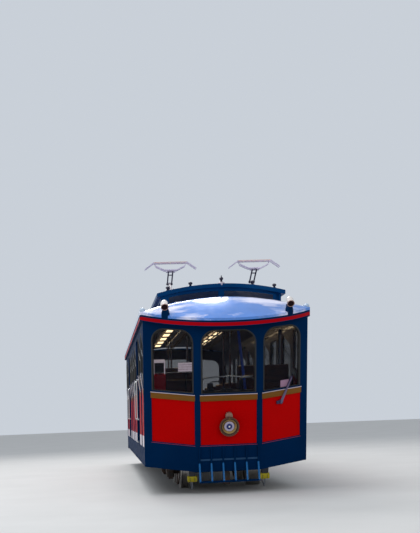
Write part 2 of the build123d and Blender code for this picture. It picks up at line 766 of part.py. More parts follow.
def lamp_parts():
    """Bullet lamps, each on a tapered post that stands on the nose just behind its edge."""
    r, long, lip = LAMP_RADIUS, LAMP_LENGTH, LAMP_LIP
    y0 = -hood_edge(LAMP_X + LAMP_FOOT_HALF, LAMP_LIP)
    lens = EAVE + LAMP_UP
    shell = Polyline((0, lip), (r - lip, lip), (r - lip, 0), (r, 0), (r, LAMP_STRAIGHT))
    dome = ThreePointArc((r, LAMP_STRAIGHT), (r * 0.75, LAMP_STRAIGHT + r * 0.8), (0, long))
    profile = make_face([*shell.edges(), dome, Line((0, long), (0, lip))])
    body = revolve(Plane.XZ * profile, Axis.Z)
    body = Pos(0, y0 - LAMP_LEAD, lens) * (Rot(LAMP_DIP - 90, 0, 0) * body)
    foot = EAVE - DECK_RISE
    points = [(-LAMP_FOOT_HALF, foot), (LAMP_FOOT_HALF, foot), (LAMP_FOOT_HALF, EAVE)]
    points += [(LAMP_NECK_HALF, lens), (-LAMP_NECK_HALF, lens), (-LAMP_FOOT_HALF, EAVE)]
    at = Plane(origin=(0, y0 + LAMP_POST, 0), x_dir=(1, 0, 0), z_dir=(0, -1, 0))
    post = prism(make_face(Polyline(*points, close=True)), at, 0, LAMP_POST)
    nose = deck_body(0, -EAVE)
    lamps = []
    for lamp in both_ends(Pos(-LAMP_X, 0, 0) * (post + body)):
        lamps += both_sides(lamp - nose)
    return lamps


def pilot_part():
    """Lifeguard grille: flat bars down the skirt, cranked forward below it, and three rails."""
    rail = PILOT_BAR
    y0, y1 = -FRONT, -FRONT - PILOT_REACH
    points = [(y0, PILOT_TOP), (y0, PILOT_KINK), (y1, PILOT_FOOT), (y1 - rail, PILOT_FOOT)]
    points += [(y0 - rail, PILOT_KINK), (y0 - PILOT_STRAP, PILOT_KINK + 3 * rail)]
    points += [(y0 - PILOT_STRAP, PILOT_TOP)]
    at = Plane(origin=(-rail / 2, 0, 0), x_dir=(0, 1, 0), z_dir=(1, 0, 0))
    bar = prism(make_face(Polyline(*points, close=True)), at, 0, rail)
    pitch = (2 * PILOT_HALF - rail) / (PILOT_BARS - 1)
    grille = None
    for i in range(PILOT_BARS):
        one = Pos(-PILOT_HALF + rail / 2 + i * pitch, 0, 0) * bar
        grille = one if grille is None else grille + one
    for z in PILOT_RAILS:
        y = y0 + (y1 - y0) * max(0.0, PILOT_KINK - z) / (PILOT_KINK - PILOT_FOOT)
        grille += block(-PILOT_HALF, PILOT_HALF, y - rail, y, z, z + rail)
    return grille


def end_block_parts():
    """Blocks beside the grille, each hung on a short plate under the skirt's edge."""
    x, plate = -BLOCK_X, BLOCK_WIDTH / 4
    wall_y = -FRONT + (BLOCK_X - FACET_HALF) * NOSE / FACET_SIDE
    y0 = wall_y - BLOCK_DEPTH / 4
    head = BLOCK_H + BLOCK_HEIGHT
    parts = [block(x - BLOCK_WIDTH / 2, x + BLOCK_WIDTH / 2, y0, y0 + BLOCK_DEPTH, BLOCK_H, head)]
    y1 = wall_y + WALL / 10
    parts.append(block(x - plate, x + plate, y1, y1 + BLOCK_PLATE, head, SKIRT))
    return [s for p in parts for s in both_sides(p)]


def wiper_part():
    """Wiper of the right-hand facet: hub under the belt, arm and blade leaning over the glass."""
    at, run = facet_plane(FACETS[2])
    tall = PANEL_BACK + WIPER_HUB
    hub = Pos(0, 0, WIPER_HUB - tall / 2) * Cylinder(WIPER_HUB, tall)
    arm = Box(WIPER_ARM_WIDTH, WIPER_ARM_LENGTH, WIPER_ARM_THICK)
    arm = Pos(0, WIPER_ARM_LENGTH / 2, WIPER_HUB + WIPER_ARM_THICK / 2) * arm
    low = WIPER_HUB + WIPER_ARM_THICK - WIPER_BLADE_DEPTH / 2
    blade = Box(WIPER_BLADE_WIDTH, WIPER_BLADE, WIPER_BLADE_DEPTH)
    blade = Pos(0, WIPER_ARM_LENGTH, low) * blade
    lean_over = Rot(0, 0, -WIPER_LEAN) * (arm + blade)
    return at * (Pos(run * WIPER_FOOT, BELT_FOOT - WIPER_DROP, 0) * (hub + lean_over))


# Current collectors, drawn on the roof in the finished position
def roof_top(x):
    """Height of the lantern roof square to the track at x across."""
    rise = CLERESTORY_RISE * (1 - (x / CLERESTORY_OUT) ** 2)
    return (EAVE + CLERESTORY_EAVE + CLERESTORY_ROOF + rise) * cos(A)


def lean(z):
    """A point straight above the track at height z square to it lies this much uphill."""
    return -z * tan(A)


def lantern_volume():
    """Everything under the skin of the lantern roof."""
    top = EAVE + CLERESTORY_EAVE + CLERESTORY_ROOF
    section = below(crown_arc(CLERESTORY_OUT, top, CLERESTORY_RISE), EAVE)
    return sloped(section, -CLERESTORY_END, CLERESTORY_END)


def pantograph_points():
    z = roof_top(PANTOGRAPH_X) + PIVOT_UP
    y = -PANTOGRAPH_Y / cos(A) + lean(roof_top(0))
    angle = radians(ARM_ANGLE)
    elbow = (y + ARM_LENGTH * cos(angle), z + ARM_LENGTH * sin(angle))
    top = (y, z + 2 * ARM_LENGTH * sin(angle))
    return (y, z), elbow, top


def tube_between(x, a, b, size):
    """Square tube in a plane of constant x between two points of Y and Z."""
    run = hypot(b[0] - a[0], b[1] - a[1])
    at = Plane(origin=(x, a[0], a[1]), x_dir=(1, 0, 0), z_dir=(0, b[0] - a[0], b[1] - a[1]))
    return extrude(at * Rectangle(size, size), amount=run)


def cross_tube(x, half, point, radius):
    turn = Rot(0, 90, 0) * Cylinder(radius, 2 * half)
    return Pos(x, point[0], point[1]) * turn


def insulator_parts():
    """Four ribbed insulators between the lantern roof and each collector's base plate."""
    foot = pantograph_points()[0]
    top = roof_top(PANTOGRAPH_X) + INSULATOR_HEIGHT
    r, core = INSULATOR_RADIUS, INSULATOR_CORE
    shed = INSULATOR_HEIGHT / (2 * INSULATOR_SHEDS)
    points = [(0, 0)]
    for k in range(INSULATOR_SHEDS):
        z = -2 * shed * k
        points += [(core, z), (r, z - shed), (core, z - 1.2 * shed)]
    points += [(core, -2 * INSULATOR_HEIGHT), (0, -2 * INSULATOR_HEIGHT)]
    post = revolve(Plane.XZ * make_face(Polyline(*points, close=True)), Axis.Z)
    skin = Rot(SLOPE, 0, 0) * lantern_volume()
    parts = []
    for dx in (-1, 1):
        for dy in (-1, 1):
            px = dx * (BASE_WIDTH / 2 - r) - PANTOGRAPH_X
            py = foot[0] + dy * (BASE_LENGTH / 2 - r)
            parts += both_sides(Pos(px, py, top) * Rot(0, 0, SLOPE) * post - skin)
    return parts


def collector_base(x):
    """Base plate on the insulators, with two ears for the pivot of the lower arm."""
    foot = pantograph_points()[0]
    z = roof_top(PANTOGRAPH_X) + INSULATOR_HEIGHT
    wide, long = BASE_WIDTH / 2, BASE_LENGTH / 2
    parts = [block(x - wide, x + wide, foot[0] - long, foot[0] + long, z, z + BASE_PLATE)]
    for side in (-1, 1):
        ear = x + side * (ARM_TUBE / 2 + EAR_THICK)
        x0, x1 = ear - EAR_THICK / 2, ear + EAR_THICK / 2
        top = foot[1] + EAR_HALF
        one = block(x0, x1, foot[0] - EAR_HALF, foot[0] + EAR_HALF, z + BASE_PLATE, top)
        parts.append(one - cross_tube(ear, EAR_THICK, foot, ELBOW_PIN + PIN_ROOM))
    return parts


def bent_bar(points, x, y):
    """Flat bar along a line of points across the car, as deep along the track as it needs."""
    back = [(px, pz - HEAD_BAR) for px, pz in reversed(points)]
    at = Plane(origin=(x, y + HEAD_DEPTH / 2, 0), x_dir=(1, 0, 0), z_dir=(0, -1, 0))
    return prism(make_face(Polyline(*points, *back, close=True)), at, 0, HEAD_DEPTH)


def collector_head(x):
    """Two strips with drooping horns over two upturned bows, on a spindle."""
    y, z = pantograph_points()[2]
    strip_z, bow_z = z + STRIP_UP + HEAD_BAR, z + BOW_FOOT + HEAD_BAR
    horn = STRIP_HALF + HORN_OUT
    strip = [(-horn, strip_z - HORN_DROP), (-STRIP_HALF, strip_z), (STRIP_HALF, strip_z)]
    strip += [(horn, strip_z - HORN_DROP)]
    bow = [(HEAD_BAR - STRIP_HALF, strip_z), (-BOW_OUT, bow_z + BOW_RISE), (-BOW_HALF, bow_z)]
    bow += [(-px, pz) for px, pz in reversed(bow)]
    head = cross_tube(x, FORK_HALF + 2 * FORK_TUBE, (y, z), HEAD_PIN)
    for dy in (-STRIP_SPREAD, STRIP_SPREAD):
        head += bent_bar(strip, x, y + dy) + bent_bar(bow, x, y + dy)
    for side in (-1, 1):
        mid = x + side * (FORK_HALF - FORK_TUBE)
        x0, x1 = mid - HEAD_PIN, mid + HEAD_PIN
        head += block(x0, x1, y - STRIP_SPREAD, y + STRIP_SPREAD, bow_z - HEAD_BAR, bow_z)
        head += block(x0, x1, y - HEAD_PIN, y + HEAD_PIN, z, bow_z)
    return head


def pantograph_parts(x):
    """Lower arm and forked upper arm of one collector."""
    foot, elbow, top = pantograph_points()
    fork = FORK_HALF
    lower_arm = tube_between(x, foot, elbow, ARM_TUBE)
    lower_arm += cross_tube(x, ARM_TUBE / 2, foot, ARM_KNUCKLE)
    lower_arm += cross_tube(x, ARM_TUBE / 2, elbow, ARM_KNUCKLE)
    lower_arm += cross_tube(x, ARM_TUBE / 2 + 2 * EAR_THICK, foot, ELBOW_PIN)
    lower_arm += cross_tube(x, fork + FORK_TUBE, elbow, ELBOW_PIN)
    upper_arm = None
    for side in (-1, 1):
        arm = tube_between(x + side * fork, elbow, top, FORK_TUBE)
        arm += cross_tube(x + side * fork, FORK_TUBE / 2, elbow, ARM_KNUCKLE)
        arm += cross_tube(x + side * fork, FORK_TUBE / 2, top, FORK_KNUCKLE)
        upper_arm = arm if upper_arm is None else upper_arm + arm
    brace = tuple(e + 0.75 * (t - e) for e, t in zip(elbow, top))
    upper_arm += cross_tube(x, fork, brace, HEAD_PIN)
    upper_arm -= cross_tube(x, 2 * fork, elbow, ELBOW_PIN + PIN_ROOM)
    upper_arm -= cross_tube(x, 2 * fork, top, HEAD_PIN + PIN_ROOM)
    return lower_arm, upper_arm


# Running gear, drawn on the track
def wheel_profile(width, flanges):
    """Half section of a wheel: distance across from its middle, then radius."""
    half = width / 2
    web = half - WEB_RECESS
    inside = TREAD_RADIUS - RIM_THICK
    edge = half + FLANGE_WIDTH if flanges else half
    hub = max(HUB_HALF, web)
    points = [(-hub, AXLE_RADIUS)]
    if hub > web:
        points += [(-hub, HUB_RADIUS), (-web, HUB_RADIUS)]
    points += [(-web, inside), (-edge, inside)]
    if flanges:
        points += [(-edge, TREAD_RADIUS + FLANGE), (-half - FLANGE_ROOT, TREAD_RADIUS + FLANGE)]
    points += [(-half, TREAD_RADIUS)]
    return points + [(-x, r) for x, r in reversed(points)]


def revolved(points, x):
    face = make_face(Polyline(*[(x + px, r) for px, r in points], close=True))
    return revolve(face, Axis.X)


def wheelset_part(y):
    """Axle with a double-flanged wheel on one side and a plain roller on the other."""
    rail_x = (GAUGE + RAIL_HEAD) / 2
    shoulder = JOURNAL_LENGTH - AXLE_HALF
    axle = [(-AXLE_HALF, 0), (-AXLE_HALF, JOURNAL_RADIUS), (shoulder, JOURNAL_RADIUS)]
    axle += [(shoulder, AXLE_RADIUS)]
    axle += [(-x, r) for x, r in reversed(axle)]
    whole = revolved(axle, 0)
    whole += revolved(wheel_profile(TREAD_WIDTH, True), -rail_x)
    whole += revolved(wheel_profile(ROLLER_WIDTH, False), rail_x)
    return Pos(0, y, TREAD_RADIUS) * whole


def axle_box_parts(centre):
    boxes = []
    section = Rectangle(BOX_LENGTH, BOX_HEIGHT)
    section = chamfer(section.vertices().group_by(Axis.Y)[0], BOX_CORNER)
    section -= Circle(JOURNAL_RADIUS + JOURNAL_CLEAR)
    for side in (-1, 1):
        for end in (-1, 1):
            y = centre + end * WHEELBASE / 2
            at = Plane(origin=(side * BOX_X, y, TREAD_RADIUS), x_dir=(0, 1, 0), z_dir=(1, 0, 0))
            boxes.append(prism(section, at, -BOX_WIDTH / 2, BOX_WIDTH / 2))
    return boxes


def bogie_side(centre, side):
    """Deep side bar with, at each axle, two horns tied below the box and a coil spring."""
    x0 = side * BOX_X - FRAME_WIDTH / 2
    at = Plane(origin=(x0, centre, 0), x_dir=(0, 1, 0), z_dir=(1, 0, 0))
    end = WHEELBASE / 2 + TREAD_RADIUS + FLANGE + BEAM + WHEEL_CLEAR
    low = WHEELBASE / 2 + BOX_LENGTH
    bar = [(-end, FRAME_TOP), (-end, FRAME_END_FOOT), (-low, FRAME_FOOT), (low, FRAME_FOOT)]
    bar += [(end, FRAME_END_FOOT), (end, FRAME_TOP)]
    parts = [prism(make_face(Polyline(*bar, close=True)), at, 0, FRAME_WIDTH)]
    near, far = BOX_LENGTH / 2, BOX_LENGTH / 2 + HORN_THICK
    spring = TREAD_RADIUS + BOX_HEIGHT / 2
    for axle in (-WHEELBASE / 2, WHEELBASE / 2):
        for jaw in (-1, 1):
            horn = [(near, FRAME_FOOT), (near, HORN_FOOT), (far, HORN_FOOT)]
            horn += [(near + HORN_TOP, FRAME_FOOT)]
            horn = [(axle + jaw * py, pz) for py, pz in horn]
            parts.append(prism(make_face(Polyline(*horn, close=True)), at, 0, FRAME_WIDTH))
        y = centre + axle
        parts.append(block(x0, x0 + FRAME_WIDTH, y - far, y + far, HORN_FOOT - TIE, HORN_FOOT))
        for radius, z0, z1 in ((SPRING_CUP, 0, CUP), (SPRING_RADIUS, CUP, FRAME_FOOT - spring)):
            coil = Cylinder(radius, z1 - z0)
            parts.append(Pos(side * BOX_X, y, spring + (z0 + z1) / 2) * coil)
    return parts


def bogie_frame_parts(centre):
    """Side bars, end beams, and the bolster that carries the centre pin."""
    parts = bogie_side(centre, -1) + bogie_side(centre, 1)
    end = WHEELBASE / 2 + TREAD_RADIUS + FLANGE + BEAM + WHEEL_CLEAR
    reach = BOX_X - FRAME_WIDTH / 2
    for y in (centre - end, centre + end - BEAM):
        parts.append(block(-reach, reach, y, y + BEAM, FRAME_END_FOOT, FRAME_TOP))
    flat = PIVOT_RADIUS + BEAM
    girder = [(-reach, FRAME_TOP), (-reach, FRAME_FOOT), (reach, FRAME_FOOT), (reach, FRAME_TOP)]
    girder += [(flat, BOLSTER_TOP), (-flat, BOLSTER_TOP)]
    half = BOLSTER / 2
    at = Plane(origin=(0, centre + half, 0), x_dir=(1, 0, 0), z_dir=(0, -1, 0))
    parts.append(prism(make_face(Polyline(*girder, close=True)), at, 0, BOLSTER))
    parts.append(Pos(0, centre, BOLSTER_TOP + PIN_HEIGHT / 2) * Cylinder(PIN_RADIUS, PIN_HEIGHT))
    return parts


def rail_brake_parts(centre):
    """Clasp brake round the guide rail, hung from the bolster, with its spring pack."""
    x = -(GAUGE + RAIL_HEAD) / 2
    near = RAIL_HEAD / 2 + BRAKE_GAP
    half = near + BRAKE_JAW
    y0, y1 = centre - BRAKE_HALF, centre + BRAKE_HALF
    parts = [block(x - half, x + half, y0, y1, BRAKE_JAW_TOP, BRAKE_TOP)]
    jaw = [(y0, BRAKE_JAW_TOP), (y0, BRAKE_FOOT + BRAKE_TOE), (y0 + BRAKE_TOE, BRAKE_FOOT)]
    jaw += [(y1 - BRAKE_TOE, BRAKE_FOOT), (y1, BRAKE_FOOT + BRAKE_TOE), (y1, BRAKE_JAW_TOP)]
    jaw = make_face(Polyline(*jaw, close=True))
    for x0 in (x - half, x + near):
        at = Plane(origin=(x0, 0, 0), x_dir=(0, 1, 0), z_dir=(1, 0, 0))
        parts.append(prism(jaw, at, 0, BRAKE_JAW))
    for y in (centre - BOLSTER / 3, centre + BOLSTER / 3):
        rod = HANGER / 2
        parts.append(block(x - rod, x + rod, y - rod, y + rod, BRAKE_TOP, FRAME_FOOT))
    pack = Rot(0, 90, 0) * Cylinder(BRAKE_PACK, 2 * half)
    parts.append(Pos(x, centre, BRAKE_TOP + BRAKE_PACK) * pack)
    return parts


def floor_foot():
    """Lowest corner of the stepped floor, square to the track."""
    return (FLOOR - STEP_THICK * (1 + FALL)) * cos(A)


def on_track(y, z):
    """Distance along the track of a point of the upright drawing at height z square to it."""
    return (y - z * sin(A)) / cos(A)


def underframe_parts():
    """Two channel sills, cross members with tapered outriggers, and the bogie centres."""
    top = floor_foot()
    foot = top - SILL_DEPTH
    plate = SILL_PLATE
    start = on_track(-CORNER + WALL, top)
    end = on_track(CAB_WELL - 2 * STEP_THICK, top)
    inner, outer = SILL_X - SILL_WIDTH / 2, SILL_X + SILL_WIDTH / 2
    parts = []
    for z0, z1 in ((foot, foot + plate), (top - plate, top)):
        parts += both_sides(block(inner, outer, start, end, z0, z1))
    web = outer - plate
    parts += both_sides(block(web, outer, start, end, foot + plate, top - plate))
    reach = HALF - SKIN
    head = top - OUTRIGGER_DROP
    arm = [(outer, head), (outer, foot), (outer + OUTRIGGER_FLAT, foot)]
    arm += [(reach, head - OUTRIGGER_TIP), (reach, head)]
    arm = make_face(Polyline(*arm, close=True))
    half = CROSS_MEMBER / 2
    for i in range(BAYS):
        y = on_track(bay_start(i) + BAY / 2, top)
        at = Plane(origin=(0, y + half, 0), x_dir=(1, 0, 0), z_dir=(0, -1, 0))
        parts += both_sides(prism(arm, at, 0, CROSS_MEMBER))
        if min(abs(y - BOGIE_Y), abs(y + BOGIE_Y)) > BOLSTER / 2 + half:
            parts.append(block(-web, web, y - half, y + half, foot + plate, head))
    for y in (-BOGIE_Y, BOGIE_Y):
        deep = BOLSTER / 2
        centre = block(-inner, inner, y - deep, y + deep, foot, foot + PIVOT_PLATE)
        low = BOLSTER_TOP + SIDE_BEARER
        ring = Pos(0, y, (foot + low) / 2) * Cylinder(PIVOT_RADIUS, foot - low)
        hole = Pos(0, y, foot) * Cylinder(PIN_RADIUS + PIN_CLEAR, 2 * SILL_DEPTH)
        parts += [centre - hole, ring - hole]
    return parts


def rope_socket_parts():
    """Drawbar under the uphill end with the eye that takes the rope's pin, and its two beams."""
    foot = floor_foot() - SILL_DEPTH
    y = on_track(-CORNER + WALL, floor_foot())
    half = SOCKET_WIDTH / 2
    low = SOCKET_H - SOCKET_WALL
    points = [(y, foot), (y + SOCKET_LENGTH, foot), (y + SOCKET_LEAD + SOCKET_FOOT_LENGTH, low)]
    points += [(y + SOCKET_LEAD, low), (y, SOCKET_H + SOCKET_WALL)]
    at = Plane(origin=(-half, 0, 0), x_dir=(0, 1, 0), z_dir=(1, 0, 0))
    bar = prism(make_face(Polyline(*points, close=True)), at, 0, SOCKET_WIDTH)
    eye = Rot(0, 90, 0) * Cylinder(SOCKET_PIN, 4 * half)
    parts = [bar - Pos(0, y + SOCKET_EYE, SOCKET_H) * eye]
    inner = SILL_X - SILL_WIDTH / 2
    for y0 in (y + SOCKET_BAR / 2, y + SOCKET_LENGTH - 1.5 * SOCKET_BAR):
        parts += both_sides(block(half, inner, y0, y0 + SOCKET_BAR, foot, foot + SOCKET_BAR))
    return parts


EQUIPMENT = (
    # distance to the inner side, width, start and end along the track, depth, side
    (15.0, 430.0, -1700.0, -500.0, 330.0, -1),
    (15.0, 430.0, -1500.0, -700.0, 280.0, 1),
    (15.0, 430.0, 300.0, 1300.0, 300.0, -1),
    (15.0, 430.0, 200.0, 1600.0, 330.0, 1),
)


def equipment_parts():
    """Cabinets hung under the outriggers between the bogies."""
    top = floor_foot() - SILL_DEPTH
    outer = SILL_X + SILL_WIDTH / 2
    cabinets = []
    for gap, wide, y0, y1, deep, side in EQUIPMENT:
        x0, x1 = sorted((side * (outer + gap), side * (outer + gap + wide)))
        cabinets.append(block(x0, x1, y0, y1, top - deep, top))
    return cabinets


def save_all():
    frames, panels, belts, panes = end_parts()
    above = over_eaves()
    save("upper_end_frame", [upper(f) - above for f in frames])
    save("lower_end_frame", [lower(f) - above for f in frames])
    left, side_panels, side_belts, side_panes = side_parts()
    save("left_side_frame", left)
    save("right_side_frame", mirror(left, about=Plane.YZ))
    ends = [upper(p) for p in panels] + [lower(p) for p in panels]
    sides = [s for p in side_panels for s in both_sides(p)]
    save("red_panels", ends + sides)
    ends = [upper(p) for p in belts] + [lower(p) for p in belts]
    sides = [s for p in side_belts for s in both_sides(p)]
    save("belt_mouldings", ends + sides)
    save("end_glass", [upper(p) for p in panes] + [lower(p) for p in panes])
    save("side_glass", [s for p in side_panes for s in both_sides(p)])
    for i, end in zip(DOOR_BAYS, ("upper", "lower")):
        leaf, light = door_parts(i)
        for side, turned in (("left", False), ("right", True)):
            for name, thing in (("door", leaf), ("door_glass", light)):
                thing = mirror(thing, about=Plane.YZ) if turned else thing
                save(f"{end}_{side}_{name}", thing)
    deck, fascia, stripe = roof_parts()
    save("roof_deck", deck)
    save("roof_fascia", fascia)
    save("roof_stripe", stripe)
    walls, glass, roof = clerestory_parts()
    save("clerestory_walls", walls)
    save("clerestory_glass", glass)
    save("clerestory_roof", roof)
    save("floor", floor_parts())
    seats, cushions = seat_parts()
    save("seat_frames", seats)
    save("seat_cushions", cushions)
    save("driver_desks", both_ends(desk_part()))
    save("cab_partitions", partition_parts())
    save("handrails", handrail_parts())
    save("ceiling_lights", light_parts())
    save("headlights", both_ends(headlight_part()))
    save("roof_lamps", lamp_parts())
    save("pilots", both_ends(pilot_part()))
    save("end_blocks", [s for b in end_block_parts() for s in both_ends(b)])
    save("wipers", both_ends(wiper_part()))
    bases = []
    for side, x in (("left", -PANTOGRAPH_X), ("right", PANTOGRAPH_X)):
        bases += collector_base(x)
        lower_arm, upper_arm = pantograph_parts(x)
        save(f"{side}_lower_arm", lower_arm, tilted=False)
        save(f"{side}_upper_arm", upper_arm, tilted=False)
        save(f"{side}_collector_head", collector_head(x), tilted=False)
    save("pantograph_bases", bases, tilted=False)
    save("roof_insulators", insulator_parts(), tilted=False)
    for end, centre in (("upper", -BOGIE_Y), ("lower", BOGIE_Y)):
        save(f"{end}_bogie_frame", bogie_frame_parts(centre), tilted=False)
        save(f"{end}_axle_boxes", axle_box_parts(centre), tilted=False)
        save(f"{end}_rail_brake", rail_brake_parts(centre), tilted=False)
        for number, y in ((1, centre - WHEELBASE / 2), (2, centre + WHEELBASE / 2)):
            save(f"{end}_wheelset_{number}", wheelset_part(y), tilted=False)
    save("underframe", underframe_parts(), tilted=False)
    save("rope_socket", rope_socket_parts(), tilted=False)
    save("equipment_boxes", equipment_parts(), tilted=False)


save_all()
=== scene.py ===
import json
import random
from math import asin, atan2, cos, hypot, pi, radians, sin, sqrt, tan

import bmesh
import bpy
from mathutils import Matrix, Vector


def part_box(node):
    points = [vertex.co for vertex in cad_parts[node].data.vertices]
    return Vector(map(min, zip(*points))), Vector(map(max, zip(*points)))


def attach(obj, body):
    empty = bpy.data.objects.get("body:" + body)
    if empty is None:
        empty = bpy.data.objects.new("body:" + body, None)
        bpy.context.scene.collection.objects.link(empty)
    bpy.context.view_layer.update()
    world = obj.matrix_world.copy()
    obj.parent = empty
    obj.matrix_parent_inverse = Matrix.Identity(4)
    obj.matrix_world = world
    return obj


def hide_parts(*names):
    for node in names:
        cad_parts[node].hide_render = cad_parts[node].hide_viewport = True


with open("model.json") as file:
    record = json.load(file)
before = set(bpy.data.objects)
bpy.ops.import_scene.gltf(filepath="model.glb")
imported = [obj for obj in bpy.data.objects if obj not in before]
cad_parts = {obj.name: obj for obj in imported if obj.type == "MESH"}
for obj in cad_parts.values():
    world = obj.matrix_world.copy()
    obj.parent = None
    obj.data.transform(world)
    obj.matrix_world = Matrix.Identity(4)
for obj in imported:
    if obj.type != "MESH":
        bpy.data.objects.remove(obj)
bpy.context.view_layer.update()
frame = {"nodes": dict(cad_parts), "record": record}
NODES = frame["nodes"]

# Sizes of the car, in metres, as in the CAD source
A = radians(18.0)
FALL = tan(A)
HALF = 1.25
BAY = 1.034
BAYS = 10
DOOR_BAYS = (2, 7)
CORNER = 5.17
FRONT = 5.5
FACET_HALF = 0.47
WALL = 0.05
SKIN = 0.045
PILASTER = 0.11
CORNER_POST = 0.11
MULLION_HALF = 0.037
WINDOW_BORDER = 0.028
SKIRT = 0.45
FLOOR = 0.86
PANEL_FOOT = 0.858
SIDE_PANEL_FOOT = 0.74
BELT_FOOT = 1.564
BELT_TOP = 1.647
SILL = 1.662
WINDOW_HEAD = 2.633
EAVE = 2.857
ARCH = 0.195
SIDE_ARCH = 0.12
SIDE_HEADER = 0.06
SILL_RADIUS = 0.025
EAVE_HALF = 1.29
FASCIA = 0.123
STRIPE_UP = 0.011
STRIPE_HEIGHT = 0.063
FASCIA_Y = CORNER - 0.03
HOOD_TIP = FASCIA_Y + 0.564
HOOD_RADIUS = (EAVE_HALF**2 + (HOOD_TIP - FASCIA_Y) ** 2) / (2 * (HOOD_TIP - FASCIA_Y))
HOOD_CENTRE = HOOD_TIP - HOOD_RADIUS
HOOD_RIM = 0.007
HOOD_RISE = 0.25
DECK_RISE = 0.225
CLERESTORY_HALF = 0.94
CLERESTORY_END = 4.6
CLERESTORY_EAVE = 0.287
CLERESTORY_RISE = 0.13
CLERESTORY_ROOF = 0.065
CLERESTORY_OVERHANG = 0.06
DOOR_FOOT = 0.8
DOOR_HEAD = 2.64
DOOR_SILL = 1.72
DOOR_GLASS_HEAD = 2.54
DOOR_RADIUS = 0.06
DOOR_STILE = 0.15
DOOR_GAP = 0.006
DOOR_THICK = 0.032
ROLL_WIDTH = 0.085
ROLL_HEIGHT = 0.08
ROLL_INSET = 0.001
SECTION_RADIUS = (EAVE_HALF**2 + DECK_RISE**2) / (2 * DECK_RISE)
BALL = (HOOD_RADIUS**2 + HOOD_RISE**2) / (2 * HOOD_RISE)
HEADLIGHT_H = 1.17
LAMP_X = 0.935
LAMP_UP = 0.157
LAMP_RADIUS = 0.057
LAMP_LENGTH = 0.125
LAMP_STRAIGHT = 0.055
LAMP_DIP = radians(19.0)
LAMP_LEAD = 0.05
LAMP_POST = 0.07
LAMP_FOOT_HALF = 0.056
LAMP_NECK_HALF = 0.038
BOGIE_Y = 3.5
WHEELBASE = 1.5
TREAD_RADIUS = 0.28
RAIL_X = 0.5655
BOX_X = 0.785
FLOOR_HALF = 1.14
AISLE_HALF = 0.3
SEAT_BAYS = (1, 3, 4, 5, 6, 8)
FLOOR_FOOT = (FLOOR - 0.045 * (1 + FALL)) * cos(A)


def track(y):
    return -y * FALL


def turned(x, y, z):
    """A point of the upright drawing, set in the finished frame."""
    return Vector((x, y * cos(A) - z * sin(A), y * sin(A) + z * cos(A)))


def upper(x, y, h):
    """A point at the uphill end, its height from the corner line."""
    return turned(x, y, track(-CORNER) + h)


def lower(x, y, h):
    """The same point at the downhill end, turned round."""
    return turned(x, -y, track(CORNER) + h)


ENDS = (("upper", upper), ("lower", lower))


# Materials
def nodes_of(material):
    material.use_nodes = True
    tree = material.node_tree
    return tree, tree.nodes, tree.links, tree.nodes["Principled BSDF"]


def noise(tree, scale, detail=4.0, stretch=None, rough=0.55):
    """Noise on object coordinates, optionally drawn out along an axis."""
    nodes, links = tree.nodes, tree.links
    where = nodes.new("ShaderNodeTexCoord").outputs["Object"]
    if stretch:
        mapping = nodes.new("ShaderNodeMapping")
        mapping.inputs["Scale"].default_value = stretch
        links.new(where, mapping.inputs["Vector"])
        where = mapping.outputs["Vector"]
    texture = nodes.new("ShaderNodeTexNoise")
    texture.inputs["Scale"].default_value = scale
    texture.inputs["Detail"].default_value = detail
    texture.inputs["Roughness"].default_value = rough
    links.new(where, texture.inputs["Vector"])
    return texture.outputs["Fac"]


def ranged(tree, value, low, high, start=0.3, end=0.7):
    node = tree.nodes.new("ShaderNodeMapRange")
    node.inputs["From Min"].default_value = start
    node.inputs["From Max"].default_value = end
    node.inputs["To Min"].default_value = low
    node.inputs["To Max"].default_value = high
    tree.links.new(value, node.inputs["Value"])
    return node.outputs["Result"]


def mixed(tree, factor, first, second):
    """Colour mix; first and second are colours or sockets."""
    node = tree.nodes.new("ShaderNodeMix")
    node.data_type = "RGBA"
    if hasattr(factor, "is_linked"):
        tree.links.new(factor, node.inputs["Factor"])
    else:
        node.inputs["Factor"].default_value = factor
    for key, colour in ((6, first), (7, second)):
        if hasattr(colour, "is_linked"):
            tree.links.new(colour, node.inputs[key])
        else:
            node.inputs[key].default_value = (*colour[:3], 1.0)
    return node.outputs[2]


def bumped(tree, height, distance, strength=1.0, onto=None):
    node = tree.nodes.new("ShaderNodeBump")
    node.inputs["Distance"].default_value = distance
    node.inputs["Strength"].default_value = strength
    tree.links.new(height, node.inputs["Height"])
    if onto is not None:
        tree.links.new(onto, node.inputs["Normal"])
    return node.outputs["Normal"]


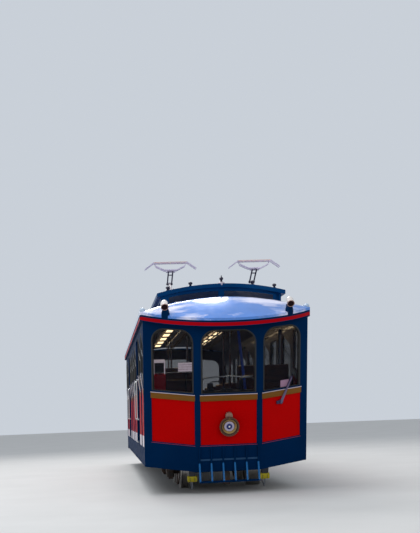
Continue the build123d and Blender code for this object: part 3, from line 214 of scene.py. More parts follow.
def coat_paint(name, colour, rough=0.32, specular=0.3, coat=0.0, vary=0.12, grime_and_sheen=0.25,
               dust_and_sheen=(0.16, 0.13, 0.1), ripple=0.0004, sheen=(1.0, 1.0, 1.0),
               streaks=(9.0, (6.0, 6.0, 0.6)), spread=0.8):
    """Coach paint: slight ripples and colour drift, dust and streaks that gather with noise; on the roof
    the pale streaks are painted reflections.
    """
    material = bpy.data.materials.new(name)
    tree, _, links, shader = nodes_of(material)
    drift = noise(tree, 1.3, 3.0)
    darker = tuple(c * (1 - vary) for c in colour)
    lighter = tuple(min(1.0, c * (1 + vary)) for c in colour)
    base = mixed(tree, ranged(tree, drift, 0.0, 1.0), darker, lighter)
    streak = noise(tree, streaks[0], 6.0, stretch=streaks[1])
    patch = noise(tree, 2.2, 5.0)
    both = tree.nodes.new("ShaderNodeMath")
    both.operation = "MULTIPLY"
    # Streaks times patches blend in the second colour: dust on most paints, a painted reflection of the sky
    # on the roof
    links.new(ranged(tree, streak, 0.0, 1.0, 0.45, spread), both.inputs[0])
    links.new(ranged(tree, patch, 0.0, grime_and_sheen, 0.4, spread - 0.05), both.inputs[1])
    base = mixed(tree, both.outputs[0], base, dust_and_sheen)
    links.new(base, shader.inputs["Base Color"])
    speck = noise(tree, 14.0, 6.0)
    links.new(ranged(tree, speck, rough * 0.8, rough * 1.35), shader.inputs["Roughness"])
    shader.inputs["Specular IOR Level"].default_value = specular
    shader.inputs["Specular Tint"].default_value = (*sheen, 1.0)
    shader.inputs["Coat Weight"].default_value = coat
    shader.inputs["Coat Roughness"].default_value = 0.06
    swell = noise(tree, 3.0, 2.0)
    links.new(bumped(tree, swell, ripple * 6), shader.inputs["Normal"])
    return material


def metal(name, colour, rough=0.35, metallic=1.0, grain=None, vary=0.2, rust=None, rusty=0.0,
          bump=0.0004):
    """Bare, plated or cast metal with smudges, brushed grain and, where wanted, rust."""
    material = bpy.data.materials.new(name)
    tree, _, links, shader = nodes_of(material)
    drift = noise(tree, 12.0, 5.0, stretch=grain)
    darker = tuple(c * (1 - vary) for c in colour)
    base = mixed(tree, ranged(tree, drift, 0.0, 1.0), darker, colour)
    if rust:
        patch = noise(tree, 7.0, 8.0, rough=0.65)
        base = mixed(tree, ranged(tree, patch, 0.0, rusty, 0.42, 0.62), base, rust)
    links.new(base, shader.inputs["Base Color"])
    fine = noise(tree, 60.0, 4.0, stretch=grain)
    links.new(ranged(tree, fine, rough * 0.75, min(1.0, rough * 1.4)), shader.inputs["Roughness"])
    shader.inputs["Metallic"].default_value = metallic
    links.new(bumped(tree, fine, bump), shader.inputs["Normal"])
    return material


def glass(name, tint, weight=0.9, rough=0.02, reach=1.0):
    """Thin pane: mostly clear, with faint smears; weight is how much light passes."""
    material = bpy.data.materials.new(name)
    tree, _, links, shader = nodes_of(material)
    smear = noise(tree, 5.0, 5.0, stretch=(1.0, 1.0, 0.4))
    shader.inputs["Base Color"].default_value = (*tint, 1.0)
    links.new(ranged(tree, smear, rough, rough + 0.06), shader.inputs["Roughness"])
    shader.inputs["Specular IOR Level"].default_value = 0.5 * reach
    shader.inputs["Alpha"].default_value = 1.0 - weight
    material.surface_render_method = "BLENDED"
    return material


def fabric(name, colour, scale=900.0):
    """Plush or woven cloth with a fine pile and worn lighter patches."""
    material = bpy.data.materials.new(name)
    tree, _, links, shader = nodes_of(material)
    worn = noise(tree, 6.0, 4.0)
    pile = noise(tree, scale, 3.0)
    lighter = tuple(min(1.0, c * 1.35 + 0.02) for c in colour)
    base = mixed(tree, ranged(tree, worn, 0.0, 0.5), colour, lighter)
    darker = tuple(c * 0.55 for c in colour)
    base = mixed(tree, ranged(tree, pile, 0.35, 0.0), base, darker)
    links.new(base, shader.inputs["Base Color"])
    shader.inputs["Roughness"].default_value = 0.85
    shader.inputs["Sheen Weight"].default_value = 0.5
    shader.inputs["Sheen Roughness"].default_value = 0.4
    links.new(bumped(tree, pile, 0.0008), shader.inputs["Normal"])
    return material


def timber(name, dark, light, grain=(1.0, 9.0, 1.0), rough=0.35):
    """Varnished wood with drawn-out grain."""
    material = bpy.data.materials.new(name)
    tree, _, links, shader = nodes_of(material)
    rings = noise(tree, 6.0, 8.0, stretch=grain, rough=0.6)
    fine = noise(tree, 40.0, 6.0, stretch=grain)
    base = mixed(tree, ranged(tree, rings, 0.0, 1.0, 0.35, 0.65), dark, light)
    base = mixed(tree, ranged(tree, fine, 0.0, 0.4), base, dark)
    links.new(base, shader.inputs["Base Color"])
    links.new(ranged(tree, fine, rough * 0.8, rough * 1.3), shader.inputs["Roughness"])
    shader.inputs["Coat Weight"].default_value = 0.3
    links.new(bumped(tree, fine, 0.0004), shader.inputs["Normal"])
    return material


def rubber(name, colour=(0.012, 0.012, 0.012), rough=0.55):
    material = bpy.data.materials.new(name)
    tree, _, links, shader = nodes_of(material)
    bloom = noise(tree, 18.0, 5.0)
    grey = tuple(c * 2.2 + 0.01 for c in colour)
    links.new(mixed(tree, ranged(tree, bloom, 0.0, 0.6), colour, grey), shader.inputs["Base Color"])
    links.new(ranged(tree, bloom, rough * 0.85, rough * 1.2), shader.inputs["Roughness"])
    shader.inputs["Specular IOR Level"].default_value = 0.35
    links.new(bumped(tree, noise(tree, 220.0, 3.0), 0.0003), shader.inputs["Normal"])
    return material


def ribbed_floor(name):
    """Dark floor covering with ribs across the car and trodden dust."""
    material = bpy.data.materials.new(name)
    tree, nodes, links, shader = nodes_of(material)
    dust_and_sheen = noise(tree, 4.0, 6.0)
    base = mixed(tree, ranged(tree, dust_and_sheen, 0.0, 0.7), (0.03, 0.028, 0.027), (0.13, 0.115, 0.1))
    links.new(base, shader.inputs["Base Color"])
    where = nodes.new("ShaderNodeTexCoord").outputs["Object"]
    ribs = nodes.new("ShaderNodeTexWave")
    ribs.bands_direction = "X"
    ribs.inputs["Scale"].default_value = 40.0
    links.new(where, ribs.inputs["Vector"])
    links.new(bumped(tree, ribs.outputs["Fac"], 0.002), shader.inputs["Normal"])
    links.new(ranged(tree, dust_and_sheen, 0.45, 0.75), shader.inputs["Roughness"])
    return material


def lit_panel(name, colour, strength):
    """A diffuser lit from behind, brighter in its middle; the cab's blank boards use it too, for a painted
    glow though they are no lamp.
    """
    material = bpy.data.materials.new(name)
    tree, _, links, shader = nodes_of(material)
    cloud = noise(tree, 25.0, 3.0)
    dim = tuple(c * 0.85 for c in colour)
    links.new(mixed(tree, ranged(tree, cloud, 0.0, 1.0), dim, colour), shader.inputs["Base Color"])
    links.new(mixed(tree, ranged(tree, cloud, 0.0, 1.0), dim, colour), shader.inputs["Emission Color"])
    shader.inputs["Emission Strength"].default_value = strength
    shader.inputs["Roughness"].default_value = 0.4
    return material


NAVY = coat_paint("navy_coach_paint", (0.0004, 0.0155, 0.06), rough=0.5, specular=0.02,
                  dust_and_sheen=(0.01, 0.028, 0.05), sheen=(0.1, 0.5, 0.9))
RED = coat_paint("red_coach_paint", (0.44, 0.001, 0.0015), rough=0.45, specular=0.05,
                 vary=0.06, dust_and_sheen=(0.3, 0.012, 0.012), grime_and_sheen=0.1, sheen=(1.0, 0.12, 0.1))
STRIPE_RED = coat_paint("red_stripe_paint", (0.36, 0.001, 0.006), rough=0.38, specular=0.08,
                        dust_and_sheen=(0.2, 0.01, 0.02), sheen=(1.0, 0.2, 0.2))
GOLD = coat_paint("ochre_gold_paint", (0.165, 0.07, 0.014), rough=0.4, specular=0.12,
                  dust_and_sheen=(0.1, 0.045, 0.012), sheen=(1.0, 0.7, 0.3))
# Pale paint: a painted highlight on the belt's top ledge, and the pale foot of the lantern's vent crowns
PALE = coat_paint("pale_paint_and_ledge_highlight", (0.5, 0.43, 0.47), rough=0.4, specular=0.3)
# A pink painted highlight where the ledge at the red panels' foot catches the light
PINK_HIGHLIGHT = coat_paint("panel_foot_highlight", (0.24, 0.03, 0.08), rough=0.4, specular=0.1)
# A pale painted highlight for the sunlit foot of each side panel
FOOT = coat_paint("pale_foot_highlight", (0.74, 0.66, 0.7), rough=0.4, specular=0.3, grime_and_sheen=0.6,
                  dust_and_sheen=(0.4, 0.3, 0.32))
# The roof's pale streaks, mixed in through the dust setting, are a painted reflection of a bright sky
ROOF = coat_paint("light_blue_roof_paint_and_sheen", (0.035, 0.185, 0.6), rough=0.2, specular=0.6, coat=0.9,
                  vary=0.2, dust_and_sheen=(0.8, 0.78, 0.92), grime_and_sheen=0.9, streaks=(1.1, (0.8, 2.6, 2.6)),
                  ripple=0.0008, spread=0.58)
LANTERN = coat_paint("dark_blue_roof_paint", (0.001, 0.04, 0.13), rough=0.35, specular=0.15,
                     dust_and_sheen=(0.02, 0.06, 0.12), grime_and_sheen=0.5, sheen=(0.2, 0.6, 1.0))
YELLOW = coat_paint("yellow_paint", (0.3, 0.25, 0.012), rough=0.5, specular=0.15, grime_and_sheen=1.0,
                    dust_and_sheen=(0.07, 0.05, 0.015))
WHITE = coat_paint("white_enamel", (0.72, 0.66, 0.62), rough=0.25, specular=0.5, coat=0.4,
                   dust_and_sheen=(0.45, 0.38, 0.32))
DARK = coat_paint("dark_satin_paint", (0.02, 0.022, 0.028), rough=0.45, dust_and_sheen=(0.08, 0.07, 0.06))
GREY = coat_paint("grey_machine_paint", (0.11, 0.12, 0.14), rough=0.5, dust_and_sheen=(0.12, 0.07, 0.04),
                  grime_and_sheen=0.7)
BRASS = metal("polished_brass", (0.42, 0.27, 0.1), rough=0.28, vary=0.35)
CHROME = metal("chromed_tube", (0.72, 0.73, 0.74), rough=0.16, vary=0.12)
STEEL = metal("worn_tread_steel", (0.42, 0.4, 0.38), rough=0.3, grain=(1.0, 12.0, 12.0))
IRON = metal("greasy_cast_iron", (0.055, 0.05, 0.046), rough=0.6, metallic=0.4,
             rust=(0.1, 0.045, 0.02), rusty=0.8, bump=0.0012)
TUBE = metal("painted_steel_tube", (0.16, 0.17, 0.19), rough=0.45, metallic=0.5,
             rust=(0.13, 0.06, 0.03), rusty=0.5)
COPPER = metal("collector_copper", (0.5, 0.25, 0.14), rough=0.4, grain=(12.0, 1.0, 1.0))
CLEAR = glass("end_pane", (0.004, 0.006, 0.012), weight=0.62, reach=0.2)
SIDE_PANE = glass("side_pane", (0.004, 0.006, 0.012), weight=0.4, reach=0.2)
SMOKED = glass("smoked_pane", (0.006, 0.012, 0.035), weight=0.12, rough=0.1)
LENS = coat_paint("dark_lamp_lens", (0.01, 0.002, 0.005), rough=0.12, specular=0.08, grime_and_sheen=0.05,
                  ripple=0.0001)
PLUSH = fabric("red_plush", (0.3, 0.012, 0.014))
BROWN = timber("brown_varnished_wood", (0.045, 0.014, 0.008), (0.16, 0.055, 0.025))
CEILING = timber("ceiling_panel", (0.045, 0.018, 0.014), (0.1, 0.045, 0.035), rough=0.5)
RUBBER = rubber("black_rubber")
TREAD = ribbed_floor("ribbed_floor")
CREAM_LIGHT = lit_panel("cream_diffuser", (1.0, 0.74, 0.42), 4.6)
LINING = timber("wood_lining", (0.014, 0.005, 0.004), (0.06, 0.018, 0.012), grain=(1.0, 1.0, 8.0))
# Eave rolls in a pale blue: a painted highlight of the light they catch
ROLL = coat_paint("pale_eave_roll_highlight", (0.4, 0.5, 0.62), rough=0.28, specular=0.5, coat=0.5,
                  dust_and_sheen=(0.3, 0.3, 0.3), grime_and_sheen=0.5)
# Brighter blue for the pilot's leaning bars: a painted highlight where they face the sky
PILOT_BAR_HIGHLIGHT = coat_paint("pilot_bar_painted_highlight", (0.002, 0.085, 0.26), rough=0.22, specular=0.5,
                         coat=0.25, grime_and_sheen=0.2, dust_and_sheen=(0.01, 0.03, 0.1), sheen=(0.2, 0.6, 1.0))
RAIL_GREY = coat_paint("dull_bar_paint", (0.015, 0.055, 0.13), rough=0.5, specular=0.1)
BRONZE = metal("aged_bronze", (0.13, 0.06, 0.04), rough=0.42, metallic=0.7)
DULL_BRASS = metal("dull_brass", (0.34, 0.2, 0.15), rough=0.45, metallic=0.6)
WIPER = coat_paint("wiper_paint", (0.1, 0.075, 0.15), rough=0.3, specular=0.4, coat=0.2)
WIPER_DARK = coat_paint("wiper_rubber", (0.03, 0.022, 0.07), rough=0.4, specular=0.3)
CARD = coat_paint("blank_card", (0.34, 0.2, 0.29), rough=0.6, specular=0.1)
CASE_RED = coat_paint("red_case_paint", (0.9, 0.01, 0.02), rough=0.4, specular=0.3)
POLE_BLUE = coat_paint("blue_pole_paint", (0.03, 0.12, 0.8), rough=0.3, specular=0.4)
# The blank board glows a little: painted light, for it is no lamp
GLOWING_BOARD = lit_panel("blank_white_board_painted_glow", (0.85, 0.74, 0.84), 0.7)
BLUE_LENS = metal("blue_reflector", (0.02, 0.03, 0.16), rough=0.12, metallic=0.3)
WARM_RIM = metal("warm_lamp_rim", (0.46, 0.3, 0.27), rough=0.4)
CARRIER = metal("lavender_grey_carrier", (0.46, 0.42, 0.56), rough=0.4, metallic=0.4)
ARM = coat_paint("dark_arm_paint", (0.045, 0.032, 0.075), rough=0.4, specular=0.3)
KNOB = coat_paint("dark_knob_paint", (0.012, 0.01, 0.03), rough=0.4, specular=0.3)
PORCELAIN = coat_paint("brown_porcelain", (0.07, 0.03, 0.022), rough=0.12, specular=0.6, coat=0.8,
                       dust_and_sheen=(0.15, 0.13, 0.12))
PIPING = fabric("dark_piping", (0.14, 0.008, 0.01), scale=1500.0)
DESK = coat_paint("desk_paint", (0.012, 0.014, 0.02), rough=0.4, specular=0.35)
STRAP = rubber("grip_strap", (0.05, 0.035, 0.02))
COPPER_PIPE = metal("oily_pipe", (0.2, 0.12, 0.07), rough=0.45)


# Mesh building
class Shape:
    """Gathers points and faces, each face with the number of its material."""

    def __init__(self):
        self.points = []
        self.faces = []
        self.marks = []

    def add(self, points, faces, mark=0):
        first = len(self.points)
        self.points += [tuple(p) for p in points]
        self.faces += [tuple(first + i for i in face) for face in faces]
        self.marks += [mark] * len(faces)

    def block(self, x0, x1, y0, y1, z0, z1, place=None, mark=0):
        """A box, its corners mapped by place, which is a function or a matrix."""
        corners = [(x, y, z) for z in (z0, z1) for y in (y0, y1) for x in (x0, x1)]
        faces = [(0, 2, 3, 1), (4, 5, 7, 6), (0, 1, 5, 4), (1, 3, 7, 5), (3, 2, 6, 7), (2, 0, 4, 6)]
        self.add(mapped(corners, place), faces, mark)

    def loops(self, rows, closed=False, capped=False, mark=0, ring=True):
        """Skins equal rows of points; closed joins the last row to the first."""
        wide = len(rows[0])
        faces = []
        count = len(rows) if closed else len(rows) - 1
        for i in range(count):
            a, b = i * wide, ((i + 1) % len(rows)) * wide
            for j in range(wide if ring else wide - 1):
                k = (j + 1) % wide
                faces.append((a + j, a + k, b + k, b + j))
        if capped and not closed:
            faces.append(tuple(range(wide - 1, -1, -1)))
            faces.append(tuple(range((len(rows) - 1) * wide, len(rows) * wide)))
        self.add([p for row in rows for p in row], faces, mark)

    def lathe(self, profile, place, steps=32, mark=0):
        """Turns (radius, height) pairs about the local Z; marks may be given per span."""
        spans = [mark] * (len(profile) - 1) if isinstance(mark, int) else mark
        rows = []
        for radius, height in profile:
            rows.append([(radius * cos(2 * pi * i / steps), radius * sin(2 * pi * i / steps), height)
                         for i in range(steps)])
        for row, after, number in zip(rows, rows[1:], spans):
            self.loops([mapped(row, place), mapped(after, place)], mark=number)

    def tube(self, path, radius, sides=10, capped=True, mark=0, closed=False):
        """Round tube along a path of points, or of given radii."""
        path = [Vector(p) for p in path]
        radii = radius if isinstance(radius, (list, tuple)) else [radius] * len(path)
        rows = []
        normal = None
        for i, point in enumerate(path):
            before = path[i - 1] if i or closed else point
            after = path[(i + 1) % len(path)] if i < len(path) - 1 or closed else point
            along = (after - before).normalized()
            if normal is None:
                normal = along.orthogonal().normalized()
            normal = (normal - along * normal.dot(along)).normalized()
            other = along.cross(normal)
            rows.append([point + radii[i] * (normal * cos(2 * pi * k / sides)
                                             + other * sin(2 * pi * k / sides))
                         for k in range(sides)])
        self.loops(rows, closed=closed, capped=capped, mark=mark)


def mapped(points, place):
    if place is None:
        return [Vector(p) for p in points]
    if isinstance(place, Matrix):
        return [place @ Vector(p) for p in points]
    return [place(*p) for p in points]


def make(name, shape, body, slot, materials, replaces=(), bevel=0.0, smooth=35.0, merge=1e-5,
         subdivide=0, segments=2):
    """One object at the origin from a shape, riding on a CAD body."""
    mesh = bpy.data.meshes.new(name)
    mesh.from_pydata(shape.points, [], shape.faces)
    for face, mark in zip(mesh.polygons, shape.marks):
        face.material_index = mark
    work = bmesh.new()
    work.from_mesh(mesh)
    bmesh.ops.remove_doubles(work, verts=work.verts, dist=merge)
    bmesh.ops.recalc_face_normals(work, faces=work.faces)
    work.to_mesh(mesh)
    work.free()
    return settle(name, mesh, body, slot, materials, replaces, bevel, smooth, subdivide, segments)


def settle(name, mesh, body, slot, materials, replaces=(), bevel=0.0, smooth=35.0, subdivide=0,
           segments=2):
    marks = [face.material_index for face in mesh.polygons]
    mesh.materials.clear()
    for material in materials if isinstance(materials, (list, tuple)) else [materials]:
        mesh.materials.append(material)
    for face, mark in zip(mesh.polygons, marks):
        face.material_index = mark
    mesh.shade_smooth()
    mesh.set_sharp_from_angle(angle=radians(smooth))
    piece = bpy.data.objects.new(name, mesh)
    bpy.context.scene.collection.objects.link(piece)
    if bevel:
        modifier = piece.modifiers.new("edges", "BEVEL")
        modifier.width = bevel
        modifier.segments = segments
        modifier.limit_method = "ANGLE"
        modifier.angle_limit = radians(30)
        modifier.harden_normals = True
    if subdivide:
        modifier = piece.modifiers.new("smooth", "SUBSURF")
        modifier.levels = subdivide
        modifier.render_levels = subdivide
    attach(piece, body)
    if replaces:
        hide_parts(*replaces)
    return piece


def body_of(node):
    return next(name for name, members in frame["record"]["behaviour"]["bodies"].items()
                if node in members)


def slot_of(node):
    return next(s["material_slot"] for s in frame["record"]["subparts"] if s["node"] == node)


def upright(vector):
    """A finished point or direction, turned back to the upright drawing."""
    return Vector((vector.x, vector.y * cos(A) + vector.z * sin(A),
                   vector.z * cos(A) - vector.y * sin(A)))


def dress(node, materials, bevel=0.0, smooth=35.0, seams=(), paint=None, drop=None, segments=2,
          cuts=()):
    """A copy of a CAD node with softened edges, which stands in for it.

    seams are planes of the upright drawing, as a normal and a distance, whose faces go;
    paint picks a face's material by its middle and normal; drop names loose parts left out;
    cuts are points and normals of planes where faces are split for paint.
    """
    work = bmesh.new()
    work.from_mesh(NODES[node].data)
    bmesh.ops.remove_doubles(work, verts=work.verts, dist=1e-6)
    inner = []
    for face in work.faces:
        points = [upright(v.co) for v in face.verts]
        if any(all(abs(n.dot(p) - d) < 3e-4 for p in points) for n, d in seams):
            inner.append(face)
    if inner:
        bmesh.ops.delete(work, geom=inner, context="FACES")
    if drop:
        gone = []
        for part in loose_parts(work):
            low = Vector([min(v.co[i] for v in part) for i in range(3)])
            high = Vector([max(v.co[i] for v in part) for i in range(3)])
            if drop((low + high) / 2, high - low):
                gone += part
        bmesh.ops.delete(work, geom=gone, context="VERTS")
    bmesh.ops.remove_doubles(work, verts=work.verts, dist=2e-5)
    bmesh.ops.dissolve_limit(work, angle_limit=radians(0.5), verts=work.verts, edges=work.edges)
    for point, normal in cuts:
        everything = [*work.verts, *work.edges, *work.faces]
        bmesh.ops.bisect_plane(work, geom=everything, plane_co=turned(*point),
                               plane_no=turned(*normal))
    if paint:
        for face in work.faces:
            face.material_index = paint(upright(face.calc_center_median()), upright(face.normal))
    mesh = bpy.data.meshes.new(f"{node}_shown")
    work.to_mesh(mesh)
    work.free()
    return settle(f"{node}_shown", mesh, body_of(node), slot_of(node), materials, (node,),
                  bevel, smooth, segments=segments)


def loose_parts(work):
    """The vertices of each part of a mesh that hangs together."""
    seen, parts = set(), []
    for vertex in work.verts:
        if vertex in seen:
            continue
        seen.add(vertex)
        part, front = [], [vertex]
        while front:
            one = front.pop()
            part.append(one)
            for edge in one.link_edges:
                other = edge.other_vert(one)
                if other not in seen:
                    seen.add(other)
                    front.append(other)
        parts.append(part)
    return parts


def keep(node, material):
    """A CAD node shown as it is, in a better material."""
    mesh = NODES[node].data
    mesh.materials.clear()
    mesh.materials.append(material)
    mesh.shade_smooth()
    mesh.set_sharp_from_angle(angle=radians(30))


# Camera, floor and light
def stage():
    floor = Shape()
    rim = [(70 * cos(2 * pi * i / 96), 70 * sin(2 * pi * i / 96), -0.0005) for i in range(96)]
    floor.add(rim, [tuple(range(96))])
    mesh = bpy.data.meshes.new("studio_floor")
    mesh.from_pydata(floor.points, [], floor.faces)
    material = bpy.data.materials.new("studio_floor")
    tree, _, links, shader = nodes_of(material)
    cloud = noise(tree, 0.7, 3.0)
    links.new(mixed(tree, ranged(tree, cloud, 0.0, 1.0), (0.56, 0.55, 0.53), (0.6, 0.59, 0.57)),
              shader.inputs["Base Color"])
    shader.inputs["Roughness"].default_value = 0.8
    mesh.materials.append(material)
    piece = bpy.data.objects.new("studio_floor", mesh)
    bpy.context.scene.collection.objects.link(piece)
    world = bpy.data.worlds.new("studio")
    bpy.context.scene.world = world
    world.use_nodes = True
    back = world.node_tree.nodes["Background"]
    back.inputs["Color"].default_value = (0.78, 0.84, 0.92, 1.0)
    back.inputs["Strength"].default_value = 0.75
    lights = (
        # name, place, aim, size, watts, colour
        ("sky_light", (-6.0, -6.0, 13.0), (0.0, -2.0, 1.5), 12.0, 900.0, (0.92, 0.96, 1.0)),
        ("front_fill", (3.0, -22.0, 7.0), (0.0, -5.0, 1.5), 8.0, 500.0, (1.0, 0.97, 0.93)),
        ("rear_fill", (-2.5, 9.0, 14.0), (0.0, -5.0, 4.5), 8.0, 1500.0, (1.0, 0.98, 0.97)),
        ("top_light", (1.0, 4.1, 15.0), (0.0, -6.2, 2.8), 2.2, 110.0, (1.0, 0.98, 1.0)),
    )
    for name, place, aim, size, watts, colour in lights:
        light = bpy.data.lights.new(name, "AREA")
        light.shape = "DISK"
        light.size = size
        light.energy = watts
        light.color = colour
        lamp = bpy.data.objects.new(name, light)
        bpy.context.scene.collection.objects.link(lamp)
        lamp.location = place
        lamp.rotation_euler = (Vector(aim) - Vector(place)).to_track_quat("-Z", "Y").to_euler()
    bpy.context.scene.view_settings.view_transform = "Standard"


def photo_camera():
    """Seen from above the uphill end; the picture's upright follows the real vertical."""
    lens = bpy.data.cameras.new("photo_camera")
    lens.sensor_fit = "VERTICAL"
    lens.sensor_height = 36.0
    lens.lens = 1048.8 / 533.0 * 36.0
    lens.clip_end = 500.0
    camera = bpy.data.objects.new("photo_camera", lens)
    bpy.context.scene.collection.objects.link(camera)
    yaw, pitch, roll = -0.10696, 0.174, 0.00614
    look = (Matrix.Rotation(A, 4, "X") @ Matrix.Rotation(yaw, 4, "Z")
            @ Matrix.Rotation(-pitch, 4, "X") @ Matrix.Rotation(roll, 4, "Y")
            @ Matrix.Rotation(pi / 2, 4, "X"))
    place = turned(-1.87316, -14.93724 - FRONT, 6.27922 + CORNER * FALL - 0.05)
    camera.matrix_world = Matrix.Translation(place) @ look
    bpy.context.scene.camera = camera


# Outlines and places on the walls
FACETS = (
    ((-HALF, -CORNER), (-FACET_HALF, -FRONT), CORNER_POST, MULLION_HALF),
    ((-FACET_HALF, -FRONT), (FACET_HALF, -FRONT), MULLION_HALF, MULLION_HALF),
    ((FACET_HALF, -FRONT), (HALF, -CORNER), MULLION_HALF, CORNER_POST),
)


def on_facet(facet, place):
    """Maps a distance along a facet, a height and a distance out of it to the finished frame."""
    (x0, y0), (x1, y1) = facet[0], facet[1]
    run = hypot(x1 - x0, y1 - y0)
    ax, ay = (x1 - x0) / run, (y1 - y0) / run
    return (lambda s, h, d: place(x0 + ax * s + ay * d, y0 + ay * s - ax * d, h)), run


def on_side(side):
    """The same for a side wall: distance is the place along the car, height is absolute."""
    return lambda s, h, d: turned(side * (HALF + d), s, h)


def outline(corners, radii, inset=0.0, steps=8):
    """A convex outline, anticlockwise, set in by a distance, its corners rounded."""
    count = len(corners)
    lines = []
    for i, a in enumerate(corners):
        b = corners[(i + 1) % count]
        run = hypot(b[0] - a[0], b[1] - a[1])
        nx, ny = (a[1] - b[1]) / run, (b[0] - a[0]) / run
        lines.append((nx, ny, nx * a[0] + ny * a[1] + inset))
    points = []
    for i in range(count):
        (ax, ay, ad), (bx, by, bd) = lines[i - 1], lines[i]
        r = max(radii[i] - inset, 0.002)
        det = ax * by - ay * bx
        cx = ((ad + r) * by - (bd + r) * ay) / det
        cy = (ax * (bd + r) - bx * (ad + r)) / det
        start = atan2(-ay, -ax)
        sweep = (atan2(-by, -bx) - start) % (2 * pi)
        for k in range(steps + 1):
            angle = start + sweep * k / steps
            points.append((cx + r * cos(angle), cy + r * sin(angle)))
    return points


def box_corners(x0, x1, foot, head):
    return ((x0, foot), (x1, foot), (x1, head), (x0, head))


def ring(shape, place, corners, radii, profile, mark=0, closed=False):
    """A moulding run round an outline: profile is pairs of inset and distance out."""
    rows = []
    for inset, out in profile:
        rows.append([place(s, h, out) for s, h in outline(corners, radii, inset)])
    shape.loops(rows, mark=mark, closed=closed)


GASKET = ((-0.009, 0.0), (-0.009, 0.004), (-0.003, 0.007), (0.006, 0.004), (0.016, -0.008),
          (0.018, -0.024))
INNER_BEAD = ((-0.012, -0.05), (-0.012, -0.058), (0.004, -0.06), (0.014, -0.05), (0.016, -0.026))
SIDE_BEAD = ((-0.012, -0.0455), (-0.012, -0.0485), (0.004, -0.0495), (0.014, -0.047), (0.016, -0.026))


def end_window(facet):
    _, run = on_facet(facet, upper)
    x0, x1 = facet[2] + WINDOW_BORDER, run - facet[3] - WINDOW_BORDER
    return box_corners(x0, x1, SILL, WINDOW_HEAD), (SILL_RADIUS, SILL_RADIUS, ARCH, ARCH)


def bay_edges(i):
    start = -CORNER + i * BAY + (CORNER_POST if i == 0 else PILASTER / 2)
    end = -CORNER + (i + 1) * BAY - (CORNER_POST if i == BAYS - 1 else PILASTER / 2)
    return start, end


def side_window(i):
    y0, y1 = bay_edges(i)
    base = track(-CORNER + i * BAY)
    head = base + EAVE - FASCIA - BAY * FALL - SIDE_HEADER
    corners = box_corners(y0 + WINDOW_BORDER, y1 - WINDOW_BORDER, base + SILL, head)
    return corners, (SILL_RADIUS, SILL_RADIUS, SIDE_ARCH, SIDE_ARCH)


def door_window(i):
    y0, y1 = (y + s for y, s in zip(bay_edges(i), (DOOR_STILE, -DOOR_STILE)))
    corners = ((y0, track(y0) + DOOR_SILL), (y1, track(y1) + DOOR_SILL),
               (y1, track(y1) + DOOR_GLASS_HEAD), (y0, track(y0) + DOOR_GLASS_HEAD))
    return corners, (DOOR_RADIUS,) * 4


# Body shell
def shell():
    """End and side frames, dark inside, with no seam where the mitred mullions meet."""
    for end, sign in (("upper", -1), ("lower", 1)):
        seams = []
        for side in (-1, 1):
            slope = tan(atan2(FRONT - CORNER, HALF - FACET_HALF) / 2)
            normal = Vector((1.0, -side * sign * slope, 0.0)).normalized()
            seams.append((normal, normal.dot(Vector((side * FACET_HALF, sign * FRONT, 0)))))

        def paint(middle, normal, sign=sign):
            outward = normal.y * sign
            return 1 if outward < -0.3 and middle.y * sign > CORNER - 0.12 else 0

        dress(f"{end}_end_frame", (NAVY, LINING), bevel=0.004, seams=seams, paint=paint)
    for side, sign in (("left", -1), ("right", 1)):
        dress(f"{side}_side_frame", (NAVY, LINING), bevel=0.004,
              paint=lambda m, n, sign=sign: 1 if n.x * sign < -0.5 else 0)


def end_trim():
    """Gaskets, sill caps and beads round the panels of the faceted ends; the caps carry painted highlights
    on the belt's top ledge and at the panels' foot.
    """
    rubber_ring, caps, lining = Shape(), Shape(), Shape()
    for _, place in ENDS:
        for facet in FACETS:
            spot, run = on_facet(facet, place)
            corners, radii = end_window(facet)
            ring(rubber_ring, spot, corners, radii, GASKET)
            ring(lining, spot, corners, radii, INNER_BEAD)
            x0, x1 = facet[2], run - facet[3]
            # Caps: mark 0 is a pale painted highlight on the belt's top ledge, mark 2 a pink painted
            # highlight at the panels' foot
            for low, high, out, mark in ((BELT_TOP + 0.006, SILL + 0.012, 0.01, 3),
                                         (BELT_TOP - 0.004, BELT_TOP + 0.006, 0.014, 0),
                                         (BELT_FOOT - 0.009, BELT_FOOT + 0.001, 0.009, 1),
                                         (PANEL_FOOT - 0.007, PANEL_FOOT + 0.001, 0.003, 2)):
                caps.block(x0, x1, low, high, 0.0005, out, spot, mark)
            inner = box_corners(x0, x1, PANEL_FOOT, BELT_FOOT)
            ring(rubber_ring, spot, inner, (0.004,) * 4,
                 ((0.0, 0.0005), (0.0, 0.0025), (0.008, 0.0025), (0.012, -0.0095)), mark=1)
    make("window_gaskets", rubber_ring, "body", "black_rubber", (RUBBER, NAVY), smooth=50)
    make("sill_caps", caps, "body", "belt_gold", (PALE, GOLD, PINK_HIGHLIGHT, NAVY), bevel=0.002)
    make("end_window_linings", lining, "body", "wood", BROWN, smooth=50)


